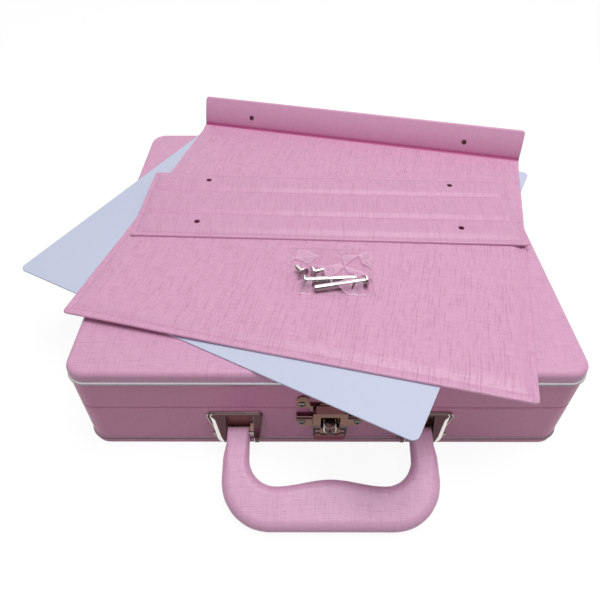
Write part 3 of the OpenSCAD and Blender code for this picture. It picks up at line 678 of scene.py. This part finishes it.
def drill(piece, points, axis, length, solver="EXACT"):
    """Cuts round holes along one axis, half their length to either side of each point"""
    bm = bmesh.new()
    turn = axis.to_track_quat("Z", "Y").to_matrix().to_4x4()
    for point in points:
        bmesh.ops.create_cone(
            bm, cap_ends=True, segments=32, radius1=HOLE_RADIUS, radius2=HOLE_RADIUS,
            depth=length, matrix=Matrix.Translation(point) @ turn,
        )
    tool = solid("drill", bm)
    cut = piece.modifiers.new("holes", "BOOLEAN")
    cut.operation, cut.solver, cut.object = "DIFFERENCE", solver, tool
    settle(piece)
    bpy.data.objects.remove(tool)


def in_hole(spot, points, axis, depth):
    """Whether a spot is in one of the drilled holes and further down it than the depth"""
    for point in points:
        away = spot - point
        along = away.dot(axis)
        if along < -depth and (away - axis * along).length < HOLE_RADIUS + 0.1 * MM:
            return True
    return False


def folding(piece, high, start, end):
    """Smooths a skin's shading, keeping edges sharper than 50 degrees, and bakes its place into
    its mesh
    """
    piece.data.shade_smooth()
    piece.data.set_sharp_from_angle(angle=radians(50))
    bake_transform(piece)


def merged(source):
    """A copy of a CAD node's mesh with its doubled points merged"""
    bm = bmesh.new()
    bm.from_mesh(source.data)
    bmesh.ops.remove_doubles(bm, verts=bm.verts[:], dist=2e-6)
    return bm


def even_skin(piece, grain, passes):
    """Gives a piece a skin of even faces, where asked, and rounds it in a number of passes"""
    if grain:
        remesh = piece.modifiers.new("even_skin", "REMESH")
        remesh.mode, remesh.voxel_size = "VOXEL", grain
    if passes:
        soften = piece.modifiers.new("soften", "SMOOTH")
        soften.factor, soften.iterations = 0.5, passes
    settle(piece)


def traced(node, name, material, edge=0.0, angle=30.0, segments=2):
    """A merged copy of a CAD node with smooth curved faces and, where asked, broken edges"""
    source = frame["nodes"][node]
    bm = merged(source)
    bmesh.ops.dissolve_limit(
        bm, angle_limit=radians(0.4), verts=bm.verts[:], edges=bm.edges[:]
    )
    piece = shown(name, bm, material, source["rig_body"], (node,))
    if edge:
        bevel = piece.modifiers.new("broken_edges", "BEVEL")
        bevel.limit_method, bevel.angle_limit = "ANGLE", radians(angle)
        bevel.width, bevel.segments, bevel.profile = edge, segments, 0.5
        bevel.use_clamp_overlap = True
        settle(piece)
    piece.data.set_sharp_from_angle(angle=radians(angle))
    shading = piece.modifiers.new("even_shading", "WEIGHTED_NORMAL")
    shading.keep_sharp = True
    return piece


# ---- operators ----


class CaseShell(bpy.types.Operator):
    """Covers the case's base, lid and top panel in leatherette"""

    bl_idname = "bobbin_box.case_shell"
    bl_label = "Case shell"

    def execute(self, context):
        s = settings().leatherette
        # The walls' covering is the lid's, darker as painted shade
        shaded_wall = leatherette("case_leatherette", s.shaded_wall_pink, across=0.3, streaks=0.15, grit=0.5)
        top = leatherette(
            "lid_leatherette", s.case_pink, turn=radians(0.5), along=0.8, pitch=1.2 * MM
        )
        for node, material in (
            ("base_frame", shaded_wall), ("base_bottom_panel", shaded_wall), ("lid_frame", shaded_wall),
            ("lid_top_panel", top),
        ):
            traced(node, node + "_covering", material, angle=40)
        return {"FINISHED"}


class CasePiping(bpy.types.Operator):
    """Silver piping round the top and the bottom of the case"""

    bl_idname = "bobbin_box.piping"
    bl_label = "Piping"

    def execute(self, context):
        s = settings().metal
        # Painted reflection: dark where the piping faces down, silver where it faces up
        bright = plated(
            "lid_piping",
            ((0.0, (0.10, 0.05, 0.07)), (0.42, (0.20, 0.14, 0.17)), (0.68, (0.27, 0.23, 0.26)),
             (0.80, s.silver), (0.92, s.silver), (0.98, (0.3, 0.2, 0.25))), 0.16, 0.05,
        )
        # The base's piping is rougher, and darker all over as painted shade
        shaded_dull = plated(
            "base_piping",
            ((0.0, (0.06, 0.03, 0.04)), (0.45, (0.13, 0.05, 0.08)), (0.70, (0.16, 0.08, 0.11)),
             (0.84, (0.24, 0.16, 0.20)), (1.0, (0.26, 0.18, 0.22))), 0.30, 0.05,
        )
        for node, material in (("base_trim", shaded_dull), ("lid_trim", bright)):
            traced(node, node + "_bead", material, angle=50)
        return {"FINISHED"}


class CaseLining(bpy.types.Operator):
    """Flocked lining inside the base and the lid"""

    bl_idname = "bobbin_box.lining"
    bl_label = "Lining"

    def execute(self, context):
        cloth = lining_cloth()
        for node in ("base_lining", "lid_lining"):
            traced(node, node + "_cloth", cloth, angle=40)
        return {"FINISHED"}


class BackHinges(bpy.types.Operator):
    """Steel hinges and their screws at the back"""

    bl_idname = "bobbin_box.back_hinges"
    bl_label = "Back hinges"

    def execute(self, context):
        s = settings().metal
        steel = even_metal("hinge_steel", s.steel, 0.26)
        for node in ("base_hinge_leaves", "lid_hinge_leaves"):
            traced(node, node + "_plate", steel, s.edge_round * 0.7)
        for node in ("hinge_pins", "base_hinge_screws", "lid_hinge_screws"):
            traced(node, node + "_steel", steel, 0.12 * MM)
        return {"FINISHED"}


class HandleBrackets(bpy.types.Operator):
    """The two nickel brackets that carry the handle"""

    bl_idname = "bobbin_box.handle_brackets"
    bl_label = "Handle brackets"

    PLATE = 2.2 * MM
    FOOT_IN = 8.4 * MM
    BEVEL_WIDTH = 4.9 * MM
    BEVEL_DROP = 1.8 * MM
    SLOT_FLOOR = 4.5 * MM

    def bevelled(self, piece, node, side):
        """Bevels the raised part along its outer flank and marks the floor of its slot for a
        painted reflection
        """
        low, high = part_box(node)
        top_x = high.x if side > 0 else low.x
        foot_x = top_x - side * self.FOOT_IN
        middle = HANDLE_X + side * ARM_X
        bm = bmesh.new()
        bm.from_mesh(piece.data)
        recess = bm.verts.layers.float.new("recess")
        for v in bm.verts:
            out = CASE_FRONT - v.co.y
            flank = mix(top_x, foot_x, clamp((high.z - v.co.z) / (high.z - low.z)))
            inward = clamp((flank - v.co.x) * side / self.BEVEL_WIDTH)
            in_slot = abs(v.co.x - middle) < SLOT_HALF
            if out > self.PLATE and not in_slot:
                v.co.y += min(out - self.PLATE, self.BEVEL_DROP) * (1 - inward)
            below_top = v.co.z < high.z - self.PLATE
            v[recess] = 1.0 if in_slot and out < self.SLOT_FLOOR and below_top else 0.0
        bmesh.ops.smooth_vert(
            bm, verts=bm.verts[:], factor=0.5, use_axis_x=True, use_axis_y=True, use_axis_z=True
        )
        bm.to_mesh(piece.data)
        bm.free()

    def execute(self, context):
        for side, node in ((-1, "left_handle_bracket"), (1, "right_handle_bracket")):
            # Painted reflection and shade: black where the metal faces down, pale where it faces
            # up, and a painted highlight down the outer bevel
            nickel = plated(
                node + "_nickel",
                ((0.0, (0.012, 0.009, 0.009)), (0.34, (0.02, 0.014, 0.012)),
                 (0.46, (0.05, 0.03, 0.026)), (0.53, (0.085, 0.04, 0.045)),
                 (0.78, (0.10, 0.05, 0.06)), (0.93, (0.22, 0.15, 0.14)),
                 (1.0, (0.50, 0.44, 0.40))), 0.17, 0.05, side,
            )
            piece = traced(node, node + "_cast", nickel)
            piece.modifiers.clear()
            even_skin(piece, 0.32 * MM, 0)
            self.bevelled(piece, node, side)
            even_skin(piece, 0, 6)
            piece.data.shade_smooth()
        pale = even_metal("bracket_steel", (0.30, 0.25, 0.23), 0.24)
        for node in ("handle_pivot_pins", "bracket_screws"):
            traced(node, node + "_steel", pale, 0.12 * MM)
        return {"FINISHED"}


class DrawClasp(bpy.types.Operator):
    """The clasp: base plate, strike, lever, loop, lock and their pins"""

    bl_idname = "bobbin_box.draw_clasp"
    bl_label = "Draw clasp"

    def execute(self, context):
        s = settings().metal
        # Every finish here is painted reflection and shade by the way it faces: black facing
        # down, the case's wine and brown on the fronts, pale highlights facing up
        black = (0.010, 0.007, 0.007)
        reflected_brown = ((0.0, black), (0.40, (0.03, 0.015, 0.014)), (0.47, s.nickel), (0.53, s.nickel))
        plate = plated(
            "clasp_reflected_brown",
            (*reflected_brown, (0.58, (0.055, 0.016, 0.022)), (0.89, (0.06, 0.018, 0.025)),
             (0.92, (0.34, 0.26, 0.24)), (0.95, (0.14, 0.045, 0.06)),
             (1.0, (0.15, 0.045, 0.06))), 0.14,
        )
        wine_reflection = plated(
            "clasp_wine_reflection",
            ((0.0, black), (0.42, black), (0.48, (0.12, 0.03, 0.04)),
             (0.54, (0.15, 0.034, 0.05)), (0.70, (0.06, 0.02, 0.025)),
             (0.84, (0.12, 0.04, 0.055)), (0.91, (0.42, 0.33, 0.30)),
             (0.95, (0.10, 0.03, 0.04)), (1.0, (0.10, 0.03, 0.04))), 0.13,
        )
        # Painted glints low on the lock's ring, and painted highlights along its sides
        lock = plated(
            "lock_nickel",
            ((0.0, black), (0.34, (0.03, 0.02, 0.02)), (0.39, (0.88, 0.82, 0.78)),
             (0.45, (0.60, 0.50, 0.47)), (0.485, (0.09, 0.026, 0.034)),
             (0.66, (0.05, 0.02, 0.024)), (0.80, (0.20, 0.14, 0.13)),
             (0.88, (0.06, 0.03, 0.03)), (1.0, (0.16, 0.12, 0.11))), 0.12, side_glints=0.8,
        )
        # The loop is painted black in shade below its roll, with painted highlights at its ends
        rolled = plated(
            "loop_reflected_brown",
            (*reflected_brown, (0.60, (0.055, 0.016, 0.022)), (0.68, (0.40, 0.30, 0.27)),
             (0.76, (0.12, 0.045, 0.05)), (0.97, (0.14, 0.05, 0.055)),
             (1.0, (0.14, 0.05, 0.055))), 0.14, shade_top=34.4 * MM,
        )
        # Painted glint on the heads of the pins and screws
        dark = plated(
            "screw_nickel",
            ((0.0, black), (0.46, (0.03, 0.030, 0.033)), (0.62, (0.09, 0.090, 0.095)),
             (0.69, (0.42, 0.41, 0.41)), (0.76, (0.13, 0.13, 0.135)),
             (1.0, (0.22, 0.21, 0.21))), 0.16,
        )
        for node, material in (
            ("clasp_base_plate", plate), ("strike_plate", plate), ("clasp_lever", wine_reflection),
            ("draw_loop", rolled), ("lock_housing", lock), ("lock_plug", lock),
        ):
            traced(node, node + "_plated", material, s.edge_round, 28, 3)
        for node in ("lever_pivots", "loop_pins", "clasp_base_screws", "strike_screws"):
            traced(node, node + "_dark", dark, 0.25 * MM, 28, 3)
        return {"FINISHED"}


class HandleGrip(bpy.types.Operator):
    """The padded handle, rounded off all over"""

    bl_idname = "bobbin_box.handle_grip"
    bl_label = "Handle grip"

    def execute(self, context):
        s = settings().leatherette
        bm = merged(frame["nodes"]["handle_grip"])
        pink = leatherette("handle_leatherette", s.handle_pink, along=0.5, streaks=0.32)
        piece = shown("handle_padding", bm, pink, "handle", ("handle_grip",))
        even_skin(piece, 0.8 * MM, 4)
        # The arms' ends are filled out until they fit their slots
        for v in piece.data.vertices:
            side = 1 if v.co.x > HANDLE_X else -1
            middle = HANDLE_X + side * ARM_X
            share = smooth((v.co.y - CASE_FRONT + 20 * MM) / (14 * MM))
            out = (v.co.x - middle) * side
            if abs(out) < SLOT_HALF and share > 0:
                if out > 0:
                    out = min(SLOT_HALF, out * (1 + 0.3 * share))
                else:
                    out *= 1 - 0.04 * share
                v.co.x = middle + side * out
        piece.data.shade_smooth()
        strap = even_metal("strap_steel", (0.5, 0.49, 0.48), 0.3)
        traced("handle_strap", "handle_strap_steel", strap, 0.2 * MM)
        return {"FINISHED"}


class WhiteSheet(bpy.types.Operator):
    """The square white card under the cover"""

    bl_idname = "bobbin_box.white_sheet"
    bl_label = "White sheet"

    def execute(self, context):
        piece = traced("white_sheet", "white_card", card_white(), 0.3 * MM)
        low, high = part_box("white_sheet")
        for v in piece.data.vertices:
            v.co.z = min(max(v.co.z, low.z + CLEAR), high.z - CLEAR)
        return {"FINISHED"}


class AlbumCover(bpy.types.Operator):
    """The padded album cover, bent up into its flange, in one skin"""

    bl_idname = "bobbin_box.album_cover"
    bl_label = "Album cover"

    HINGE_Y = COVER_SIZE[1] / 2 + 0.2 * MM
    BEND = radians(76)
    RELAX = radians(15)
    STEP = 0.1 * MM

    def profile(self, radius):
        """The top face's line from front to back, its length, and how far along it the crease is

        The line is flat, bends tightly and goes on as a flange that leans back as it rises.
        """
        half = COVER_SIZE[1] / 2
        cut = radius * math.tan(self.BEND / 2)
        flat, arc, rise = half + self.HINGE_Y - cut, radius * self.BEND, FLANGE_HEIGHT - cut
        total = flat + arc + rise
        y, z, gone = -half, 0.0, 0.0
        line = [(y, z, 0.0)]
        while gone < total:
            gone += self.STEP
            past = gone - flat
            if past < arc:
                angle = self.BEND * max(0.0, past) / arc
            else:
                angle = self.BEND - self.RELAX * smooth((past - arc) / rise)
            y += self.STEP * cos(angle)
            z += self.STEP * sin(angle)
            line.append((y, z, angle))
        return line, total, flat + arc / 2

    def ripples(self, x, r, from_side):
        """Small waves of the covering along the front edge and down both sides"""
        wave = 0.0
        # Reach and height in mm, waves to the metre each way, and the distance from the edge
        for reach, height, across, along, seed, d in (
            (9, 0.30, 55, 160, 3.1, r), (4, 0.35, 210, 60, 6.4, r),
            (9, 0.22, 160, 45, 8.3, from_side),
        ):
            near = exp(-d / (reach * MM))
            wave += near * height * MM * noise.noise(Vector((x * across, r * along, seed)))
        return wave

    def skin(self):
        """The cover's mesh"""
        s = settings().cover
        width, depth, full = COVER_SIZE
        line, total, crease = self.profile(s.bend_radius)

        def place(x, r, side):
            from_side = width / 2 - abs(x)
            d = min(from_side, r, total - r)
            # The board thins to the flange's thickness over the 8 mm that end 1 mm short of it
            share = smooth((r - (crease - 9 * MM)) / (8 * MM))
            here = mix(full, FLANGE_THICKNESS, share)
            rim = sealed_edge(d, full, s.rim_thickness, s.rim_width, 8 * MM)
            high, low = (mix(a, b, share) for a, b in zip(rim, plain_edge(d, here)))
            x2, r2 = rounded_plan(x, r, width / 2, 0.0, total, CORNER_RADIUS)
            y0, z0, angle = line[min(len(line) - 1, max(0, round(r2 / self.STEP)))]
            if side:
                offset = high - here
                # A narrow groove in the crease and a wide, shallow one ahead of it
                offset -= 0.7 * MM * exp(-(((r - crease) / (1.0 * MM)) ** 2))
                offset -= 0.35 * MM * exp(-(((r - crease + 3.5 * MM) / (2.2 * MM)) ** 2))
                along = max(0.0, 1 - (2 * y0 / depth) ** 2)
                offset += s.crown * (1 - (2 * x / width) ** 2) * along
                offset += self.ripples(x, r, from_side) * (1 - share)
            else:
                offset = low - here + CLEAR
            # The front left corner stands up a little
            lift = 2.2 * MM * smooth((-x / width - 0.02) / 0.45) * smooth(1 - r / (110 * MM))
            return turned(
                COVER_PLACE, x2, y0 - sin(angle) * offset,
                COVER_TOP + z0 + cos(angle) * offset + lift,
            )

        rows = spread(total - 40 * MM, True, False, 3 * MM)
        rows += [crease + v * MM for v in
                 (-9, -7.5, -6, -5, -4, -3.2, -2.5, -2, -1.6, -1.2, -0.8, -0.4, 0, 0.4, 0.8,
                  1.2, 1.6, 2, 2.6, 3.4, 4.4, 5.6, 7, 8.5, 10, 12, 14)]
        rows += [total - v * MM for v in
                 (10, 8.5, 7, 6, 5, 4.3, 3.6, 3, 2.5, 2, 1.5, 1.1, 0.8, 0.5, 0.3, 0.12, 0)]
        rows = sorted({round(r, 7) for r in rows})
        columns = [v - width / 2 for v in spread(width, True, True, 3 * MM)]
        return leaf(columns, rows, place)

    def punch(self, piece):
        """Two blind holes from the flange's front; gives where they meet it and their axis"""
        axis = direction(COVER_PLACE, -sin(FLANGE_LEAN), cos(FLANGE_LEAN))
        back, up = FLANGE_HOLE_RISE * cos(FLANGE_LEAN), FLANGE_HOLE_RISE * sin(FLANGE_LEAN)
        met = []
        for side in (-1, 1):
            x = side * HOLE_PITCH / 2 - 1.5 * MM
            at = turned(COVER_PLACE, x, self.HINGE_Y + back, COVER_TOP + up)
            hit, spot, _, _ = piece.ray_cast(at + axis * 10 * MM, -axis)
            if not hit:
                raise RuntimeError("the flange isn't where its holes are")
            met.append(spot)
        drill(piece, [at + axis * 1.6 * MM for at in met], axis, 6 * MM, "FAST")
        return met, axis

    def execute(self, context):
        pink = leatherette(
            "cover_leatherette", settings().leatherette.cover_pink, turn=COVER_PLACE[2],
            across=0.7, streaks=0.44,
        )
        piece = shown(
            "album_cover_skin", self.skin(), pink, None,
            ("cover_board", "cover_flange", "cover_stiffener", "flange_stiffener"),
        )
        met, axis = self.punch(piece)
        deep = piece.data.attributes.new("deep", "FLOAT", "POINT")
        calm = piece.data.attributes.new("calm", "FLOAT", "POINT")
        for k, v in enumerate(piece.data.vertices):
            back = plan(COVER_PLACE, v.co)[1] - self.HINGE_Y
            rise = v.co.z - COVER_TOP
            # Painted shade down the blind holes, and painted shade along the crease that fades up
            # the flange
            if in_hole(v.co, met, axis, 0.9 * MM):
                deep.data[k].value = 1.0
            elif rise > -0.8 * MM and back > -6 * MM:
                up = max(rise, 0.0)
                fold = 0.34 * exp(-up / (1.6 * MM)) + 0.25 * exp(-up / (9 * MM))
                deep.data[k].value = fold * smooth((back + 3 * MM) / (3 * MM))
            calm.data[k].value = smooth((rise - 1 * MM) / (3 * MM))
        half = COVER_SIZE[1] / 2
        folding(
            piece, "flange", turned(COVER_PLACE, 0, half - 3 * MM, COVER_TOP),
            turned(COVER_PLACE, 0, half + 1.4 * MM, COVER_TOP + 3 * MM),
        )
        return {"FINISHED"}


class SpineStrip(bpy.types.Operator):
    """The three padded bands of the spine strip"""

    bl_idname = "bobbin_box.spine_strip"
    bl_label = "Spine strip"

    HALF_SPINE = SPINE_WIDTH / 2

    def skin(self, low_y, high_y, seams):
        """A band's mesh; seams says which of its ends in y are sealed, the others being folds"""
        s = settings()
        length, full = STRIP_SIZE

        def place(x, y, side):
            ends = list(zip((y - low_y, high_y - y), seams))
            d = min([length / 2 - abs(x)] + [end for end, seam in ends if seam])
            fold = min(end for end, seam in ends if not seam)
            top, low = sealed_edge(
                d, full, s.cover.rim_thickness, s.cover.rim_width * 0.85, 6 * MM
            )
            dip = 1 - smooth(fold / s.strip.groove_width) ** 0.8
            top -= dip * (full - s.strip.groove_thickness) * smooth((d - 3 * MM) / (5 * MM))
            share = (y - low_y) / (high_y - low_y)
            inward = smooth((d - 4 * MM) / (10 * MM))
            top += 0.5 * MM * (1 - (2 * share - 1) ** 2) * inward
            if d > 2 * MM:
                wave = noise.noise(Vector((x * 60, y * 60, 5.5)))
                top = max(top + 0.3 * MM * exp(-d / (8 * MM)) * wave, 1.4 * MM)
            x2, y2 = rounded_plan(x, y, length / 2, low_y, high_y, CORNER_RADIUS, seams)
            return turned(STRIP_PLACE, x2, y2, STRIP_UNDER + (top if side else low))

        columns = [v - length / 2 for v in spread(length, True, True, 3 * MM)]
        rows = [low_y + v for v in spread(high_y - low_y, True, True, 2 * MM)]
        bm = leaf(columns, rows, place)
        # A line in shade runs along the front of each fold
        deep = bm.verts.layers.float.new("deep")
        for v in bm.verts:
            y = plan(STRIP_PLACE, v.co)[1] + 1.2 * MM
            to_fold = min(abs(y + self.HALF_SPINE), abs(y - self.HALF_SPINE))
            v[deep] = 0.16 * max(0.0, 1 - to_fold / (1.3 * MM))
        return bm

    def punch(self, piece, sign):
        """Two blind holes in an outer band"""
        row = sign * (self.HALF_SPINE + BAND_WIDTH - HOLE_EDGE)
        up = Vector((0, 0, 1))
        spots = [
            turned(STRIP_PLACE, end * HOLE_PITCH / 2, row, STRIP_UNDER + STRIP_SIZE[1])
            for end in (-1, 1)
        ]
        drill(piece, spots, up, 5 * MM)
        # Painted shade down the holes
        for v, mark in zip(piece.data.vertices, piece.data.attributes["deep"].data):
            if in_hole(v.co, spots, up, 2.2 * MM):
                mark.value = 1.0

    def execute(self, context):
        pink = leatherette(
            "strip_leatherette", settings().leatherette.strip_pink, turn=STRIP_PLACE[2],
            along=0.9, across=0.3, streaks=0.40, grit=0.9,
        )
        half, far = self.HALF_SPINE, self.HALF_SPINE + BAND_WIDTH
        for band, sign, low_y, high_y, seams, body, stiffener in (
            ("spine_band", 0, -half, half, (0, 0), "spine", "spine_stiffener"),
            ("front_band", -1, -far, -half, (1, 0), "front_flap", "front_band_stiffener"),
            ("back_band", 1, half, far, (0, 1), "back_flap", "back_band_stiffener"),
        ):
            piece = shown(
                band + "_skin", self.skin(low_y, high_y, seams), pink,
                None if sign else body, (band, stiffener),
            )
            if sign:
                self.punch(piece, sign)
                folding(
                    piece, body,
                    turned(STRIP_PLACE, 0, sign * (half - 0.5 * MM), STRIP_UNDER),
                    turned(STRIP_PLACE, 0, sign * (half + 2.5 * MM), STRIP_UNDER),
                )
        return {"FINISHED"}


def facets(length, width, pitch, seed):
    """Flat triangular facets over a sheet, in mm: the corners of each and how milky it is, which
    also sets its painted highlight
    """
    corners = []
    nx, ny = round(length / pitch), round(width / pitch)
    for i in range(nx + 1):
        for j in range(ny + 1):
            at = Vector((i * 3.1 + seed, j * 2.7, 0.5))
            inside = 0 < i < nx, 0 < j < ny
            x = -length / 2 + length * i / nx + inside[0] * pitch * 0.8 * noise.noise(at)
            y = -width / 2 + width * j / ny + inside[1] * pitch * 0.8 * noise.noise(at * 1.7)
            corners.append(Vector((x, y, 0.5 + 0.9 * noise.noise(at * 2.3))))
    flat = [corner.to_2d() for corner in corners]
    _, _, faces, _, _, _ = delaunay_2d_cdt(flat, [], [], 0, 1e-6)
    made = []
    for k, face in enumerate(faces):
        at = Vector((k * 1.37 + seed, 4.2, 0.1))
        made.append(([corners[c] for c in face], noise.noise(at * 3.1)))
    return made


class PostBag(bpy.types.Operator):
    """The crumpled clear bag, drawn over the posts and screws that lie in it"""

    bl_idname = "bobbin_box.post_bag"
    bl_label = "Post bag"

    def execute(self, context):
        s = settings().bag
        length, width = 62.0, 49.0
        # Cells of the film each way; lengths here are in millimetres
        across, down = 180, 142
        # Rods under the film: start, direction in degrees, length, radius, height of the axis
        rods = (
            ((24.6, -14.6), 191.2, 36, 2.7, 3.9), ((24.6, -14.6), 191.2, 1, 4.5, 4.8),
            ((-17.2, -15.7), 8.7, 36, 2.7, 3.9), ((-17.2, -15.7), 8.7, 1, 4.5, 4.8),
            ((-19.5, -7.5), 125, 8, 1.8, 4.8), ((-19.5, -7.5), 125, 1, 4.5, 4.8),
            ((-11.5, -6.5), 20, 8, 1.8, 4.8), ((-11.5, -6.5), 20, 1, 4.5, 4.8),
        )

        def tented(x, y):
            best = 0.3
            for (sx, sy), turn, run, r, axis in rods:
                dx, dy = cos(radians(turn)), sin(radians(turn))
                t = run * clamp(((x - sx) * dx + (y - sy) * dy) / run)
                away = hypot(x - sx - dx * t, y - sy - dy * t)
                if away < r * 0.8:
                    h = axis + sqrt(r * r - away * away)
                else:
                    h = axis + 0.6 * r - (away - 0.8 * r) * 0.85
                best = max(best, h)
            return best

        columns = [-length / 2 + length * k / across for k in range(across + 1)]
        rows = [-width / 2 + width * k / down for k in range(down + 1)]
        made = facets(length, width, 9.0, s.seed)

        @cache
        def facet_at(x, y):
            """The facet's rise at a point, how far the point is from its sides, its milkiness and
            painted highlight
            """
            for (a, b, c), milk in made:
                whole = (b.y - c.y) * (a.x - c.x) + (c.x - b.x) * (a.y - c.y)
                if not whole:
                    continue
                p = ((b.y - c.y) * (x - c.x) + (c.x - b.x) * (y - c.y)) / whole
                q = ((c.y - a.y) * (x - c.x) + (a.x - c.x) * (y - c.y)) / whole
                shares = (p, q, 1 - p - q)
                if min(shares) >= -1e-4:
                    rise = sum(w * corner.z for w, corner in zip(shares, (a, b, c)))
                    return rise, min(shares), milk
            return 0.5, 0.3, 0.0

        def place(x, y, side):
            edge = min(length / 2 - abs(x), width / 2 - abs(y))
            flat = smooth(edge / 5)
            if not side:
                return turned(BAG_PLACE, x * MM, y * MM, BAG_UNDER + (0.08 + 0.1 * flat) * MM)
            rise, _, _ = facet_at(x, y)
            h = 0.35 + (max(tented(x, y), 0.3) - 0.35) * flat
            h += rise * s.crumple / MM * (0.2 + 0.8 * flat) * exp(-max(0, h - 3) / 2.5)
            jag = 0.5 * noise.noise(Vector((x * 0.35, y * 0.35, 9.0))) * (1 - flat)
            return turned(
                BAG_PLACE, (x + jag) * MM, (y + jag) * MM, BAG_UNDER + min(h, 11.4) * MM
            )

        bm = leaf(columns, rows, place)
        crease = bm.verts.layers.float.new("crease")
        milky = bm.verts.layers.float.new("milk")
        for v in bm.verts:
            x, y = (number / MM for number in plan(BAG_PLACE, v.co))
            x = columns[round(clamp(x / length + 0.5) * across)]
            y = rows[round(clamp(y / width + 0.5) * down)]
            _, near, milk = facet_at(x, y)
            edge = min(length / 2 - abs(x), width / 2 - abs(y))
            # Creases and the bag's edge get whitening, partly a painted highlight
            line = exp(-((near / 0.035) ** 2)) * (0.35 + milk)
            v[crease] = max(line, 0.8 * exp(-((edge / 0.5) ** 2)))
            # Milky facets, partly a painted highlight
            v[milky] = smooth((milk - 0.10) / 0.12)
        shown("clear_bag", bm, clear_film(), "bag", ("post_bag",))
        return {"FINISHED"}


class ScrewPosts(bpy.types.Operator):
    """The bright screw posts and cap screws in the bag"""

    bl_idname = "bobbin_box.screw_posts"
    bl_label = "Screw posts"

    def execute(self, context):
        # Painted reflection: pink at the sides, a dark band, and a painted white glint along the
        # top
        bright = plated(
            "post_steel",
            ((0.0, (0.20, 0.10, 0.13)), (0.40, (0.42, 0.26, 0.31)), (0.56, (0.46, 0.38, 0.38)),
             (0.70, (0.26, 0.22, 0.21)), (0.80, (0.035, 0.03, 0.027)), (0.90, (0.30, 0.27, 0.25)),
             (0.945, (1.0, 0.97, 0.93)), (1.0, (1.0, 0.98, 0.95))), 0.10,
        )
        for node in ("screw_posts", "cap_screws"):
            traced(node, node + "_bright", bright, 0.3 * MM, 28, 3)
        return {"FINISHED"}


class Stage(bpy.types.Operator):
    """Floor, light and camera"""

    bl_idname = "bobbin_box.stage"
    bl_label = "Stage"

    def execute(self, context):
        s = settings().stage
        scene = context.scene
        scene.view_settings.view_transform = "Standard"

        bm = bmesh.new()
        bmesh.ops.create_grid(bm, x_segments=1, y_segments=1, size=6.0)
        floor = solid("floor", bm)
        f = Finish("floor_white")
        plain = f.node("ShaderNodeBsdfDiffuse", None, {"Color": (0.50, 0.47, 0.48)})
        paper = f.node("ShaderNodeBsdfDiffuse", None, {"Color": (0.13, 0.13, 0.13)})
        glow = f.node("ShaderNodeEmission", None, {"Color": (1, 1, 1), "Strength": 0.92})
        white = f.node("ShaderNodeAddShader", None, {0: paper, 1: glow})
        both = f.node("ShaderNodeMixShader", None, {0: f.seen(), 1: plain, 2: white})
        f.node("ShaderNodeOutputMaterial", None, {"Surface": both})
        floor.data.materials.append(f.owner)

        scene.world = bpy.data.worlds.new("sky")
        f = Finish("sky", scene.world)
        level = f.node(
            "ShaderNodeMapRange", None, {"Value": f.seen(), "To Min": s.sky, "To Max": 1.0}
        )
        back = f.node("ShaderNodeBackground", None, {"Color": (1, 1, 1), "Strength": level})
        f.node("ShaderNodeOutputWorld", None, {"Surface": back})

        lamp = bpy.data.lights.new("overhead", "AREA")
        lamp.shape, lamp.size, lamp.energy = "SQUARE", 0.75, s.lamp_power
        hung = bpy.data.objects.new("overhead", lamp)
        hung.location = (0.20, -0.06, 1.33)
        scene.collection.objects.link(hung)

        data = bpy.data.cameras.new("camera")
        data.sensor_width, data.lens = 36.0, s.focal_length
        # The image is 600 pixels wide and its middle lies this far below the line of sight
        data.shift_y = -17.02 / 600
        data.clip_start, data.clip_end = 0.01, 20
        camera = bpy.data.objects.new("camera", data)
        # Swung about the upright, tipped down from level, then rolled about its own line of sight
        camera.matrix_world = (
            Matrix.Translation((-0.01616, -0.35353, 0.35107))
            @ Matrix.Rotation(radians(0.190), 4, "Z")
            @ Matrix.Rotation(radians(90 - 43.560), 4, "X")
            @ Matrix.Rotation(radians(-0.100), 4, "Z")
        )
        scene.collection.objects.link(camera)
        scene.camera = camera
        return {"FINISHED"}


STEPS = (
    CaseShell, CasePiping, CaseLining, BackHinges, HandleBrackets, DrawClasp, HandleGrip,
    WhiteSheet, AlbumCover, SpineStrip, PostBag, ScrewPosts, Stage,
)


class BobbinBoxPanel(bpy.types.Panel):
    """Lists every piece of the bobbin box"""

    bl_idname = "VIEW3D_PT_bobbin_box"
    bl_label = "Bobbin Box"
    bl_space_type = "VIEW_3D"
    bl_region_type = "UI"
    bl_category = "Bobbin Box"

    def draw(self, context):
        for step in STEPS:
            self.layout.operator(step.bl_idname)


CLASSES = (
    LeatheretteSettings, MetalSettings, CoverSettings, StripSettings, BagSettings,
    StageSettings, BobbinBoxSettings, *STEPS, BobbinBoxPanel,
)


def register():
    for item in CLASSES:
        bpy.utils.register_class(item)
    bpy.types.Scene.bobbin_box = PointerProperty(type=BobbinBoxSettings)


def unregister():
    del bpy.types.Scene.bobbin_box
    for item in reversed(CLASSES):
        bpy.utils.unregister_class(item)


def main():
    register()
    for step in STEPS:
        family, name = step.bl_idname.split(".")
        getattr(getattr(bpy.ops, family), name)()


if __name__ == "__main__":
    main()
